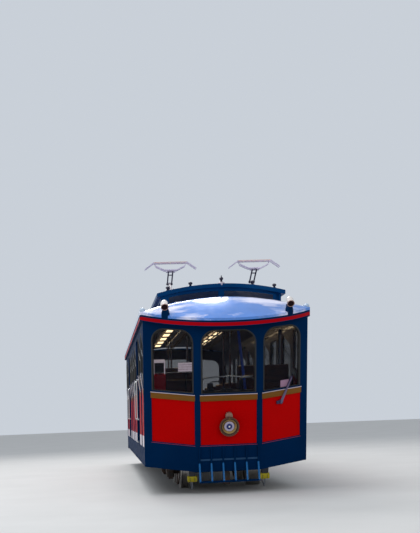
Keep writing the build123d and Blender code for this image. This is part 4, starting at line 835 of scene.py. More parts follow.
def side_trim():
    gaskets, caps, lining = Shape(), Shape(), Shape()
    for side in (-1, 1):
        spot = on_side(side)
        for i in range(BAYS):
            y0, y1 = bay_edges(i)
            base = track(-CORNER + i * BAY)
            if i in DOOR_BAYS:
                corners, radii = door_window(i)
                shift = -SKIN - DOOR_GAP
                outer = [(a, b + shift) for a, b in GASKET[:-1]] + [(0.018, shift - 0.013)]
                inner = [(a, 2 * shift - DOOR_THICK - b) for a, b in outer]
                ring(gaskets, spot, corners, radii, outer)
                ring(gaskets, spot, corners, radii, inner)
                continue
            corners, radii = side_window(i)
            ring(gaskets, spot, corners, radii, GASKET)
            ring(lining, spot, corners, radii, SIDE_BEAD)
            (wx0, foot), (wx1, _), (_, head), _ = corners
            bar = foot + 0.62 * (head - foot)
            gaskets.block(wx0, wx1, bar - 0.014, bar + 0.014, -0.021, -0.004, spot, 2)
            # Caps: mark 0 is a pale painted highlight on the belt's top ledge
            for low, high, out, mark in ((BELT_TOP + 0.006, SILL + 0.012, 0.01, 3),
                                         (BELT_TOP - 0.004, BELT_TOP + 0.006, 0.014, 0),
                                         (BELT_FOOT - 0.009, BELT_FOOT + 0.001, 0.009, 1)):
                caps.block(y0, y1, base + low, base + high, 0.0005, out, spot, mark)
            # A pale strip at each panel's foot: a painted highlight of sunlight there
            foot = SIDE_PANEL_FOOT + 0.004
            highlight_strip = [(y0 + 0.006, track(y0) + foot), (y1 - 0.006, track(y1) + foot),
                     (y1 - 0.006, track(y1) + foot + 0.19), (y0 + 0.006, track(y0) + foot + 0.19)]
            caps.loops([[spot(s, h, d) for s, h in highlight_strip] for d in (-0.012, -0.0065)], capped=True,
                       mark=2)
            top = base + BELT_FOOT
            inner = ((y0, track(y0) + SIDE_PANEL_FOOT), (y1, track(y1) + SIDE_PANEL_FOOT),
                     (y1, top), (y0, top))
            ring(gaskets, spot, inner, (0.004,) * 4,
                 ((0.0, 0.0005), (0.0, 0.0025), (0.008, 0.0025), (0.012, -0.0095)), mark=1)
    make("side_window_gaskets", gaskets, "body", "black_rubber", (RUBBER, NAVY, CHROME), smooth=50)
    make("side_sill_caps", caps, "body", "belt_gold", (PALE, GOLD, FOOT, NAVY), bevel=0.002)
    make("side_window_linings", lining, "body", "wood", BROWN, smooth=50)


# Roof
def deck_height(x, y):
    """Height of the roof's skin in the upright drawing."""
    section = EAVE + HOOD_RIM + DECK_RISE - SECTION_RADIUS + sqrt(SECTION_RADIUS**2 - x * x)
    section += track(y)
    if y > -4.5:
        return section
    across = BALL**2 - x * x - (y + HOOD_CENTRE) ** 2
    dome = EAVE + HOOD_RIM + HOOD_RISE - BALL + sqrt(across) + track(-CORNER)
    return min(section, dome)


def roof_skin():
    """Domed nose, sloping deck and downhill nose in one skin, its ceiling and its thin rim."""
    rows = []
    start = asin((FASCIA_Y - HOOD_CENTRE) / HOOD_RADIUS)
    turns = [start + (radians(89.2) - start) * k / 26 for k in range(27)]
    edges = [(HOOD_CENTRE + HOOD_RADIUS * sin(t), HOOD_RADIUS * cos(t)) for t in turns]
    for y, half in reversed(edges):
        rows.append((-y, min(half, EAVE_HALF), EAVE + track(-CORNER)))
    middle = [-FASCIA_Y, -5.09, -5.04, -5.0, -4.985, -4.96, -4.9, -4.8, -4.6]
    middle += [-4.6 + 0.5 * k for k in range(1, 19)] + [FASCIA_Y]
    rows += [(y, EAVE_HALF, EAVE + track(y)) for y in middle]
    rows += [(y, min(half, EAVE_HALF), EAVE + track(CORNER)) for y, half in edges]
    columns = [sin(pi / 2 * (2 * k / 44 - 1)) * 0.35 + (2 * k / 44 - 1) * 0.65 for k in range(45)]
    top, bottom = [], []
    for y, half, foot in rows:
        high = [deck_height(u * half, y) for u in columns]
        high = [max(h, foot + HOOD_RIM) for h in high]
        top.append([turned(u * half, y, h) for u, h in zip(columns, high)])
        bottom.append([turned(u * half, y, max(h - 0.04, foot)) for u, h in zip(columns, high)])
    skin = Shape()
    skin.loops(top, ring=False)
    skin.loops(bottom, ring=False, mark=2)
    for j in (0, -1):
        skin.loops([[a[j], b[j]] for a, b in zip(top, bottom)], ring=False)
    for k in (0, -1):
        skin.loops([[a, b] for a, b in zip(top[k], bottom[k])], ring=False)
    # Eave rolls along both sides, in the pale paint that stands for their highlight
    r = ROLL_WIDTH / 2
    begin, end = r + ROLL_INSET - FASCIA_Y, FASCIA_Y - r - ROLL_INSET
    along = [(begin - r * sin(t), cos(t), begin) for t in [pi / 2 * k / 8 for k in range(8, 0, -1)]]
    along += [(begin + (end - begin) * k / 20, 1.0, None) for k in range(21)]
    along += [(end + r * sin(t), cos(t), end) for t in [pi / 2 * k / 8 for k in range(1, 9)]]
    for side in (-1, 1):
        centre = side * (EAVE_HALF - ROLL_INSET - r)
        rolls = []
        for y, scale, hold in along:
            scale = max(scale, 0.02)
            high = EAVE + ROLL_HEIGHT - r + track(y if hold is None else hold)
            arc = [(centre + r * scale * cos(pi * k / 12), high + r * scale * sin(pi * k / 12))
                   for k in range(13)]
            low = [(x, deck_height(x, y) - 0.003) for x in (arc[-1][0], arc[0][0])]
            rolls.append([turned(x, y, z) for x, z in [(arc[0][0], low[1][1]), *arc, low[0]]])
        skin.loops(rolls, ring=False, capped=True, mark=3)
    make("roof_skin", skin, "body", "roof_blue", (ROOF, NAVY, CEILING, ROLL), smooth=40,
         replaces=("roof_deck",), merge=2e-5)


def roof_trim():
    """Fascia with a light blue rim, red stripe under a navy line, and the lantern."""
    for node, materials, level in (
            ("roof_fascia", (NAVY, ROOF), EAVE - 0.031),
            ("roof_stripe", (STRIPE_RED, NAVY), EAVE - FASCIA + STRIPE_UP + STRIPE_HEIGHT - 0.012)):
        def above(middle, normal, level=level):
            reach = max(-CORNER, min(CORNER, middle.y)) if abs(middle.y) > FASCIA_Y else middle.y
            return 1 if middle.z > level + track(reach) else 0
        dress(node, materials, paint=above, cuts=(
            ((0, 0, level), (0, FALL, 1)), ((0, 0, level + track(-CORNER)), (0, 0, 1)),
            ((0, 0, level + track(CORNER)), (0, 0, 1))))
    inner = CLERESTORY_HALF - 0.03
    cut = (CLERESTORY_HALF - 0.125) / 2
    seams = [(Vector((1, 0, 0)), x) for x in (-cut, 0.0, cut)]
    dress("clerestory_walls", (LANTERN, LINING), bevel=0.003, seams=seams,
          paint=lambda m, n: 1 if n.x * m.x < -0.4 and abs(m.x) > inner - 0.02 else 0)
    out = CLERESTORY_HALF + CLERESTORY_OVERHANG
    seams = [(Vector((1, 0, 0)), x) for x in (-out / 2, 0.0, out / 2)]
    dress("clerestory_roof", LANTERN, bevel=0.006, seams=seams)
    keep("clerestory_glass", SMOKED)
    details = Shape()
    knob = ((0.03, -0.012), (0.03, 0.006), (0.017, 0.012), (0.017, 0.028), (0.029, 0.034),
            (0.034, 0.047), (0.029, 0.06), (0.016, 0.068), (0.0, 0.07))
    crown = ((0.052, -0.012), (0.052, 0.018), (0.034, 0.028), (0.017, 0.032), (0.016, 0.058),
             (0.029, 0.068), (0.032, 0.083), (0.02, 0.1), (0.008, 0.106), (0.006, 0.13), (0.0, 0.132))
    for y0 in (-CLERESTORY_END - CLERESTORY_OVERHANG, CLERESTORY_END + CLERESTORY_OVERHANG):
        y = y0 + (0.05 if y0 < 0 else -0.05)
        for x in (-0.83, -0.48, 0.0, 0.48, 0.83):
            top = EAVE + CLERESTORY_EAVE + CLERESTORY_ROOF + CLERESTORY_RISE * (1 - (x / out) ** 2)
            profile = knob if x else crown
            details.lathe(profile, lambda a, b, c, x=x, z=top: turned(x + a, y + b, z + track(y) + c),
                          steps=20, mark=[0] * 8 if x else [1] * 3 + [0] * 7)
    make("lantern_vents", details, "body", "panto_steel", (KNOB, PALE), smooth=40)


# Lamps
HEADLIGHT_PROFILE = (
    (0.06, -0.008), (0.105, -0.008), (0.118, 0.03), (0.126, 0.054), (0.146, 0.062),
    (0.15, 0.068), (0.15, 0.085), (0.146, 0.09), (0.128, 0.09), (0.124, 0.086), (0.122, 0.078),
    (0.116, 0.072), (0.112, 0.07), (0.11, 0.078), (0.104, 0.08), (0.09, 0.066), (0.078, 0.055),
    (0.075, 0.06), (0.06, 0.062), (0.046, 0.06), (0.044, 0.064), (0.03, 0.069), (0.014, 0.072),
    (0.013, 0.0735), (0.0, 0.075),
)
# Marks per span: bronze body and rim, dark well, brass ring, lavender-grey reflector, blue lens, and a
# white spot at its middle that is a painted highlight
HEADLIGHT_MARKS = [4] * 10 + [1] * 2 + [0] * 5 + [6] * 3 + [3] * 2 + [2] * 2


def headlights():
    """Deep brass bowl with a dark well, an inner rim, a lavender-grey reflector and a blue lens, whose
    white middle is a painted highlight.
    """
    lamp = Shape()
    for _, place in ENDS:
        spot = lambda x, y, z: place(x, -FRONT - z, HEADLIGHT_H + y)
        lamp.lathe(HEADLIGHT_PROFILE, spot, steps=64, mark=HEADLIGHT_MARKS)
        for k in range(3):
            angle = pi / 2 + k * 2 * pi / 3
            x, y = 0.14 * cos(angle), 0.14 * sin(angle)
            lamp.lathe(((0.0, 0.095), (0.007, 0.094), (0.009, 0.09), (0.009, 0.086)),
                       lambda a, b, c, x=x, y=y: spot(x + a, y + b, c), steps=12)
        cap = box_corners(-0.053, 0.053, 0.13, 0.21)
        rows = [[spot(s, h, d) for s, h in outline(cap, (0.006, 0.006, 0.046, 0.046), inset)]
                for inset, d in ((0.0, -0.002), (0.0, 0.05), (0.006, 0.057))]
        lamp.loops(rows, capped=True, mark=5)
    make("headlight_bowls", lamp, "body", "lamp_brass",
         (BRASS, DARK, WHITE, BLUE_LENS, BRONZE, DULL_BRASS, CARRIER), smooth=40,
         replaces=("headlights",))


def hood_edge(x, inset=0.0):
    return HOOD_CENTRE + sqrt((HOOD_RADIUS - inset) ** 2 - x * x)


def roof_lamps():
    """White bullet lamps with a warm rim and a dark lens, on navy brackets over the roof's rim."""
    body, post = Shape(), Shape()
    r, straight, long = LAMP_RADIUS, 0.09, 0.168
    dome = [(r * cos(t), straight + (long - straight) * sin(t))
            for t in [pi / 2 * k / 10 for k in range(11)]]
    profile = [(0.0, 0.0015), (0.03, 0.0025), (0.042, 0.005), (r - 0.011, 0.0065), (r - 0.01, 0.001),
               (r - 0.003, 0.0), (r, 0.002), (r, 0.01), (r - 0.002, 0.012), (r - 0.002, 0.016), *dome]
    marks = [1, 1, 1, 2, 2, 2, 2, 2, 0, 0] + [0] * 10
    y0 = -hood_edge(LAMP_X + LAMP_FOOT_HALF, 0.006)
    lens = EAVE + LAMP_UP - 0.02
    turn = LAMP_DIP - pi / 2
    lean = asin(LAMP_X / HOOD_RADIUS)
    for _, place in ENDS:
        for side in (-1, 1):
            def spot(x, y, z):
                return place(side * LAMP_X + x, y0 - LAMP_LEAD - 0.025 + y * cos(turn) - z * sin(turn),
                             lens + y * sin(turn) + z * cos(turn))
            body.lathe(profile, spot, steps=40, mark=marks)

            def section(half, back, z, lift):
                edge = -hood_edge(LAMP_X)
                corners = ((-half, -0.007), (half, -0.007), (half, back), (-half, back))
                return [place(side * (LAMP_X + u * cos(lean) - v * sin(lean)),
                              edge + u * sin(lean) + v * cos(lean) - lift, z) for u, v in corners]
            rows = [section(0.05, 0.02, EAVE - 0.046, 0.0), section(0.056, 0.06, EAVE + 0.02, 0.0),
                    section(0.05, 0.06, EAVE + 0.06, 0.0), section(0.04, 0.06, lens - 0.055, -0.004),
                    section(0.03, 0.06, lens - 0.02, -0.03)]
            post.loops(rows, capped=True)
    make("roof_lamp_bodies", body, "body", "lamp_white", (WHITE, LENS, WARM_RIM), smooth=40,
         replaces=("roof_lamps",))
    make("roof_lamp_posts", post, "body", "navy_paint", NAVY, bevel=0.008, smooth=40,
         replaces=("roof_lamps",), segments=3)


# Current collectors
def collectors():
    """Arms, copper strips on the carriers, bases with coil springs, and insulators."""
    for side, sx in (("left", -1), ("right", 1)):
        for part in ("lower_arm", "upper_arm", "collector_head"):
            dress(f"{side}_{part}", ARM if part != "collector_head" else CARRIER, bevel=0.002)
        low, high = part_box(f"{side}_collector_head")
        centre = sx * 0.7
        strips = Shape()
        y = (low[1] + high[1]) / 2
        for dy in (-0.06, 0.06):
            strips.block(centre - 0.27, centre + 0.27, y + dy - 0.0125, y + dy + 0.0125,
                         high[2] - 0.007, high[2], None)
            for x in (-0.18, 0.0, 0.18):
                strips.block(centre + x - 0.006, centre + x + 0.006, y + dy - 0.015, y + dy + 0.015,
                             high[2] - 0.02, high[2] - 0.005, None, 1)
        make(f"{side}_contact_strips", strips, f"{side}_collector_head", "panto_steel",
             (COPPER, STEEL), bevel=0.0015)
    dress("pantograph_bases", TUBE, bevel=0.002)
    keep("roof_insulators", PORCELAIN)
    coils = Shape()
    low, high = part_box("pantograph_bases")
    for sx in (-1, 1):
        for dx in (-0.048, 0.048):
            y0, y1 = low[1] + 0.05, high[1] - 0.04
            z = low[2] + 0.03
            helix(coils, Vector((sx * 0.7 + dx, y0, z)), Vector((sx * 0.7 + dx, y1 - 0.14, z)), 0.009,
                  0.0025, 14)
            coils.tube([(sx * 0.7 + dx, y0 - 0.02, z - 0.014), (sx * 0.7 + dx, y0, z)], 0.004)
            coils.tube([(sx * 0.7 + dx, y1 - 0.14, z), (sx * 0.7 + dx, y1 - 0.1, z)], 0.004)
    make("pantograph_springs", coils, "body", "panto_steel", STEEL, smooth=60)


def helix(shape, start, end, radius, wire, turns, sides=8, mark=0):
    """A coil spring between two points, its ends closed up."""
    along = (end - start).normalized()
    first = along.orthogonal().normalized()
    other = along.cross(first)
    path = []
    steps = int(turns * 14)
    for k in range(steps + 1):
        t = k / steps
        angle = 2 * pi * turns * t
        path.append(start + (end - start) * t + radius * (first * cos(angle) + other * sin(angle)))
    shape.tube(path, wire, sides=sides, mark=mark)


# Nose fittings
def nose_fittings():
    bars, blocks, bits = Shape(), Shape(), Shape()
    for _, place in ENDS:
        for k in range(6):
            x = -0.445 + 0.178 * k
            wall = [(x, 0.004, 0.832), (x, -0.012, 0.828), (x, -0.016, 0.81), (x, -0.016, 0.59)]
            bars.tube([place(a, -FRONT + b, c) for a, b, c in wall], 0.013, sides=12)
            # The leaning lower bars take the brighter blue, a painted highlight
            lean = [(x, -0.016, 0.592), (x, -0.023, 0.568), (x, -0.133, 0.343)]
            bars.tube([place(a, -FRONT + b, c) for a, b, c in lean], [0.014, 0.016, 0.015], sides=12,
                      mark=1)
        bars.block(-0.458, 0.458, -FRONT - 0.013, -FRONT - 0.001, 0.628, 0.654, place, 2)
        bars.block(-0.46, 0.46, -FRONT - 0.144, -FRONT - 0.126, 0.33, 0.354, place, 0)
        for side in (-1, 1):
            x, y = side * 0.553, -5.48
            face = box_corners(x - 0.075, x + 0.075, 0.288, 0.372)
            rows = [[place(s, y + b, h) for s, h in outline(face, (0.02,) * 4, inset)]
                    for inset, b in ((0.012, 0.0), (0.003, 0.005), (0.0, 0.014), (0.0, 0.065))]
            blocks.loops(rows, capped=True)
            for dx in (-0.035, 0.035):
                blocks.block(x + dx - 0.004, x + dx + 0.004, y - 0.003, y + 0.01, 0.3, 0.36, place, 1)
            blocks.block(x - 0.05, x + 0.05, y + 0.02, y + 0.032, 0.37, 0.452, place, 1)
            bits.tube([place(x, -FRONT + 0.06, 0.3), place(x, -FRONT + 0.06, 0.2),
                       place(x, -FRONT + 0.1, 0.15), place(x, -FRONT + 0.3, 0.15)], 0.011, sides=14)
            bits.tube([place(x, -FRONT + 0.3, 0.15), place(x, -FRONT + 0.3, 0.5)], 0.011, sides=14)
    make("pilot_grilles", bars, "body", "navy_paint", (NAVY, PILOT_BAR_HIGHLIGHT, RAIL_GREY), smooth=40,
         replaces=("pilots",))
    make("end_block_forms", blocks, "body", "yellow_paint", (YELLOW, DARK), bevel=0.002,
         smooth=40, replaces=("end_blocks",))
    make("end_bits", bits, "body", "yellow_paint", (GREY, DARK), smooth=40)
    card, wiper = Shape(), Shape()
    spot, run = on_facet(FACETS[2], upper)
    card.block(0.375, 0.525, 1.675, 1.785, -0.0216, -0.0198, spot)
    make("plain_card", card, "body", "lamp_white", CARD, bevel=0.0005)
    lean = radians(27.0)
    for _, place in ENDS:
        spot, run = on_facet(FACETS[2], place)
        s, h = run * 0.43, 1.464

        def along(t, across, d):
            return spot(s + t * sin(lean) + across * cos(lean), h + t * cos(lean) - across * sin(lean), d)
        wiper.lathe(((0.034, -0.004), (0.034, 0.026), (0.026, 0.034), (0.0, 0.036)),
                    lambda a, b, c: spot(s + a, h + b, c), steps=24, mark=1)
        housing = box_corners(s - 0.075, s + 0.02, h - 0.028, h + 0.022)
        rows = [[spot(a, b, d) for a, b in outline(housing, (0.012,) * 4, inset)]
                for inset, d in ((0.0, -0.002), (0.0, 0.016), (0.006, 0.022))]
        wiper.loops(rows, capped=True, mark=1)
        rows = [[along(t, u * half, d) for u, d in ((-1, 0.022), (1, 0.022), (0.6, 0.036), (-0.6, 0.036))]
                for t, half in ((-0.02, 0.016), (0.02, 0.024), (0.12, 0.021), (0.27, 0.013), (0.4, 0.009))]
        wiper.loops(rows, capped=True, mark=0)
        rows = [[along(t, u * 0.009, d) for u, d in ((-1, 0.001), (1, 0.001), (1, 0.022), (-1, 0.022))]
                for t in (0.14, 0.42)]
        wiper.loops(rows, capped=True, mark=1)
    make("wiper_sets", wiper, "body", "black_rubber", (WIPER, WIPER_DARK), bevel=0.001, smooth=40,
         replaces=("wipers",))


# Saloon
def crowned(size, steps=(14, 10, 3), rise=0.02):
    """A pad round its middle with crowned faces, sides drawn in between its corners."""
    nx, ny, nz = steps
    shape = Shape()
    hx, hy, hz = (s / 2 for s in size)

    def push(u, v, w):
        bulge = (1 - u**4) * (1 - v**4)
        x = u * (hx - 0.012 * (1 - v * v) * (1 - w * w) * abs(u))
        y = v * (hy - 0.012 * (1 - u * u) * (1 - w * w) * abs(v))
        return Vector((x, y, w * (hz - rise + rise * bulge)))

    for axis in range(3):
        others = [k for k in range(3) if k != axis]
        na, nb = steps[others[0]], steps[others[1]]
        for end in (-1, 1):
            rows = []
            for i in range(na + 1):
                row = []
                for j in range(nb + 1):
                    spot = [0.0, 0.0, 0.0]
                    spot[axis] = end
                    spot[others[0]] = 2 * i / na - 1
                    spot[others[1]] = 2 * j / nb - 1
                    row.append(push(*spot))
                rows.append(row)
            shape.loops(rows, ring=False)
    return shape


def puffed(name, size, cap=0.014, voxel=0.02):
    """The pad inflated as cloth, for its own shape; returns a mesh round its middle."""
    shape = crowned([s - 0.012 for s in size], rise=0.006)
    mesh = bpy.data.meshes.new(name)
    mesh.from_pydata(shape.points, [], shape.faces)
    work = bmesh.new()
    work.from_mesh(mesh)
    bmesh.ops.remove_doubles(work, verts=work.verts, dist=1e-5)
    bmesh.ops.recalc_face_normals(work, faces=work.faces)
    work.to_mesh(mesh)
    work.free()
    pad = bpy.data.objects.new(name, mesh)
    bpy.context.scene.collection.objects.link(pad)
    remesh = pad.modifiers.new("remesh", "REMESH")
    remesh.mode = "VOXEL"
    remesh.voxel_size = voxel
    graph = bpy.context.evaluated_depsgraph_get()
    even = bpy.data.meshes.new_from_object(pad.evaluated_get(graph))
    pad.modifiers.clear()
    pad.data = even
    before = [v.co.copy() for v in even.vertices]
    cloth = pad.modifiers.new("cloth", "CLOTH")
    cloth.settings.use_pressure = True
    cloth.settings.uniform_pressure_force = 4.0
    cloth.settings.effector_weights.gravity = 0.0
    cloth.settings.quality = 5
    scene = bpy.context.scene
    for number in range(1, 16):
        scene.frame_set(number)
    graph = bpy.context.evaluated_depsgraph_get()
    blown = bpy.data.meshes.new_from_object(pad.evaluated_get(graph))
    for vertex, start in zip(blown.vertices, before):
        shift = vertex.co - start
        if shift.length > cap:
            vertex.co = start + shift * (cap / shift.length)
    bpy.data.objects.remove(pad)
    scene.frame_set(1)
    limit = [s / 2 for s in size]
    for vertex in blown.vertices:
        for k in range(3):
            vertex.co[k] = max(-limit[k], min(limit[k], vertex.co[k]))
    return blown


def cushions():
    """Plush seat pads and backs, inflated once and set out bay by bay, with piped edges."""
    wide = FLOOR_HALF - AISLE_HALF - 0.024
    forms = {
        "seat_pads": puffed("seat_pad", (wide, 0.45, 0.09)),
        "seat_backs": puffed("seat_back", (wide, 0.05, 0.48), cap=0.01),
    }
    piping = Shape()
    for name, form in forms.items():
        whole = Shape()
        points = [v.co.copy() for v in form.vertices]
        faces = [tuple(f.vertices) for f in form.polygons]
        for i in SEAT_BAYS:
            z0 = track(-CORNER + i * BAY) + FLOOR
            y0 = -CORNER + i * BAY + 0.012
            for side in (-1, 1):
                x = side * (AISLE_HALF + FLOOR_HALF) / 2
                if name == "seat_pads":
                    middle = (x, y0 + 0.09 + 0.225, z0 + 0.43 - 0.045)
                else:
                    middle = (x, y0 + 0.065, z0 + 0.43 + 0.24)
                whole.add([turned(middle[0] + p.x, middle[1] + p.y, middle[2] + p.z)
                           for p in points], faces)
                hw = wide / 2 - 0.012
                if name == "seat_pads":
                    for z in (0.032, -0.032):
                        piping.tube([turned(middle[0] + a, middle[1] + b, middle[2] + z) for a, b in
                                     ((-hw, -0.21), (-hw, 0.213), (hw, 0.213), (hw, -0.21))],
                                    0.0045, sides=6, closed=True)
                else:
                    piping.tube([turned(middle[0] + a, middle[1] + 0.02, middle[2] + b) for a, b in
                                 ((-hw, -0.225), (-hw, 0.228), (hw, 0.228), (hw, -0.225))],
                                0.0045, sides=6, closed=True)
        piece = make(name, whole, "body", "seat_red", PLUSH, smooth=80, replaces=("seat_cushions",))
    make("seat_piping", piping, "body", "seat_red", PIPING, smooth=60)


def saloon():
    dress("floor", TREAD, bevel=0.002)
    dress("seat_frames", BROWN, bevel=0.004)
    dress("cab_partitions", BROWN, bevel=0.006)
    dress("driver_desks", DESK, bevel=0.008, segments=3)
    keep("handrails", CHROME)
    lights = Shape()
    top = EAVE + HOOD_RIM - 0.04 + DECK_RISE * (1 - (0.53 / EAVE_HALF) ** 2) - 0.012
    for i in range(1, BAYS - 1):
        y = -CORNER + (i + 0.5) * BAY
        for side in (-1, 1):
            x = side * 0.53
            for wide, y0, y1, low, mark in ((0.062, -0.4, 0.4, 0.036, 0), (0.066, -0.41, 0.41, 0.03, 1),
                                            (0.066, -0.43, -0.35, 0.042, 1), (0.066, 0.35, 0.43, 0.042, 1)):
                lights.block(x - wide, x + wide, y + y0, y + y1, top - low, top - 0.002 * mark,
                             lambda a, b, c: turned(a, b, c + track(b)), mark)
    make("ceiling_light_panels", lights, "body", "light_cream", (CREAM_LIGHT, DARK), bevel=0.004,
         replaces=("ceiling_lights",))
    cab_gear()
    cushions()
    gear, wood = Shape(), Shape()
    for end, place in ENDS:
        top = FLOOR + 0.83
        y0 = -FRONT + WALL

        def desk(x, y, z):
            return place(x, y0 + y, top - 0.1 * y / 0.38 + z)
        for x, tall, r in ((-0.25, 0.11, 0.05), (0.22, 0.16, 0.035)):
            gear.lathe(((r + 0.02, 0.0), (r + 0.02, 0.012), (r, 0.02), (r * 0.9, tall),
                        (r * 0.8, tall + 0.01), (0.0, tall + 0.012)),
                       lambda a, b, c, x=x: desk(x + a, 0.2 + b, c), steps=28, mark=1)
            gear.tube([desk(x, 0.2, tall + 0.02), desk(x + 0.05, 0.23, tall + 0.03),
                       desk(x + 0.13, 0.27, tall + 0.03)], [0.008, 0.009, 0.011], mark=0)
            gear.lathe(((0.0, -0.018), (0.014, -0.012), (0.018, 0.0), (0.014, 0.012), (0.0, 0.018)),
                       lambda a, b, c, x=x, t=tall: desk(x + 0.14 + a, 0.275 + b, t + 0.03 + c),
                       steps=16, mark=2)
        for x in (-0.06, 0.04):
            gear.lathe(((0.045, 0.0), (0.045, 0.03), (0.04, 0.034), (0.036, 0.028), (0.0, 0.028)),
                       lambda a, b, c, x=x: desk(x + a, 0.12 + b, c), steps=28,
                       mark=[0, 0, 0, 3])
        gear.tube([desk(-0.4, 0.03, 0.0), desk(-0.4, 0.03, 0.16), desk(-0.36, 0.03, 0.2),
                   desk(0.0, 0.02, 0.23), desk(0.36, 0.03, 0.2), desk(0.4, 0.03, 0.16),
                   desk(0.4, 0.03, 0.0)], 0.011, sides=12)
        for x in (-0.95, 0.95):
            wood.block(x - 0.11, x + 0.11, -CORNER + 0.12, -CORNER + 0.3, FLOOR + 0.2, FLOOR + 0.6,
                       place, 0)
    for i in range(1, BAYS - 1):
        y = -CORNER + i * BAY
        base = track(y)
        if i in DOOR_BAYS or i - 1 in DOOR_BAYS or i + 1 in DOOR_BAYS:
            continue
        a, b = bay_edges(i)
        for side in (-1, 1):
            wood.block(side * 1.2, side * 1.165, a, b, base + SILL - 0.07, base + SILL - 0.035, turned)
    rails = Shape()
    for sx in (-0.4, 0.4):
        top = EAVE - 0.04 + DECK_RISE * (1 - (0.4 / EAVE_HALF) ** 2) - 0.16
        path = [turned(sx, y, track(y) + top) for y in (-3.9, -3.0, -1.0, 1.0, 2.8)]
        rails.tube(path, 0.014, sides=12)
        for y in (-3.9, -2.2, -0.5, 1.2, 2.8):
            rails.tube([turned(sx, y, track(y) + top), turned(sx, y, track(y) + top + 0.15)], 0.01)
        for k in range(26):
            y = -3.75 + k * 0.255
            strap(rails, sx, y, track(y) + top)
    make("ceiling_rails", rails, "body", "rail_metal", (CHROME, STRAP), smooth=50)
    make("desk_gear", gear, "body", "desk_dark", (CHROME, DARK, RUBBER, LENS), smooth=45)
    make("cab_cupboards", wood, "body", "wood", BROWN, bevel=0.005)


def cab_gear():
    """Blank boards with a painted glow, a framed box, a red case and rails before the partition, and a blue
    pole.
    """
    gear = Shape()
    y = -CORNER + BAY - 0.12
    for _, place in ENDS:
        for x0, x1, h0, h1 in ((-1.06, -0.87, 1.848, 1.87), (-1.06, -1.04, 1.66, 1.848),
                               (-0.884, -0.87, 1.66, 1.848)):
            gear.block(x0, x1, y - 0.06, y + 0.06, h0, h1, place, 0)
        gear.block(-1.04, -0.884, y - 0.02, y + 0.06, 1.66, 1.848, place, 1)
        for k in range(4):
            gear.block(-0.66, -0.405, y - 0.006, y + 0.006, 1.675 + 0.038 * k, 1.705 + 0.038 * k, place, 0)
        gear.block(-0.65, -0.415, y + 0.005, y + 0.012, 1.675, 1.82, place, 2)
        gear.tube([place(-1.06, y - 0.03, 1.67), place(-0.4, y - 0.03, 1.668)], 0.008, mark=5)
        gear.tube([place(-0.89, y - 0.03, 1.552), place(-0.4, y - 0.03, 1.537)], 0.006, mark=4)
        gear.block(-1.045, -0.865, y - 0.07, y + 0.05, 1.38, 1.64, place, 3)
        for x in (-0.955, -0.53):
            gear.tube([place(x, y + 0.02, 1.0), place(x, y + 0.02, 1.7)], 0.014, mark=1)
        gear.tube([place(0.355, y - 0.6, 0.87), place(0.355, y - 0.58, 1.4), place(0.27, y - 0.3, 2.4)],
                  0.022, sides=14, mark=6)
        gear.tube([place(0.2, -5.2, 1.68), place(0.2, -5.2, 1.8), place(0.24, -5.19, 1.83),
                   place(0.42, -5.15, 1.83)], 0.009, mark=5)
    make("cab_gear", gear, "body", "desk_dark",
         (GLOWING_BOARD, DARK, CARD, CASE_RED, BRASS, CHROME, POLE_BLUE), bevel=0.004, smooth=40)


def strap(shape, x, y, z):
    """A hanging grip: a short band and a ring."""
    shape.block(x - 0.0025, x + 0.0025, y - 0.012, y + 0.012, z - 0.12, z + 0.016, turned, 1)
    ring_path = [turned(x, y + 0.04 * sin(2 * pi * k / 14), z - 0.155 + 0.04 * cos(2 * pi * k / 14))
                 for k in range(14)]
    shape.tube(ring_path, 0.005, sides=6, closed=True, mark=1)


# Doors
def doors():
    for end, i in (("upper", 2), ("lower", 7)):
        for side, sign in (("left", -1), ("right", 1)):
            name = f"{end}_{side}_door"
            dress(name, (NAVY, LINING), bevel=0.003,
                  paint=lambda m, n, sign=sign: 1 if n.x * sign < -0.5 else 0)
            keep(f"{name}_glass", SIDE_PANE)
            y0, y1 = bay_edges(i)
            bits = Shape()
            spot = on_side(sign)
            face = -SKIN - DOOR_GAP
            ya = y1 - 0.075 if end == "upper" else y0 + 0.075
            base = track(ya)
            bits.tube([spot(ya, base + 1.42, face), spot(ya, base + 1.43, face + 0.014),
                       spot(ya, base + 1.61, face + 0.014), spot(ya, base + 1.62, face)], 0.006,
                      sides=12)
            for h in (1.42, 1.62):
                bits.lathe(((0.018, 0.0), (0.018, 0.003), (0.011, 0.006)),
                           lambda a, b, c, h=h: spot(ya + a, base + h + b, face + c), steps=16)
            za, zb = track(y0 + 0.02), track(y1 - 0.02)
            plate = [(y0 + 0.02, za + DOOR_FOOT + 0.03), (y1 - 0.02, zb + DOOR_FOOT + 0.03),
                     (y1 - 0.02, zb + DOOR_FOOT + 0.24), (y0 + 0.02, za + DOOR_FOOT + 0.24)]
            rows = [[spot(s, h, face + d) for s, h in plate] for d in (0.0003, 0.0022)]
            bits.loops(rows, capped=True, mark=0)
            make(f"{name}_fittings", bits, name, "rail_metal", CHROME, smooth=40)


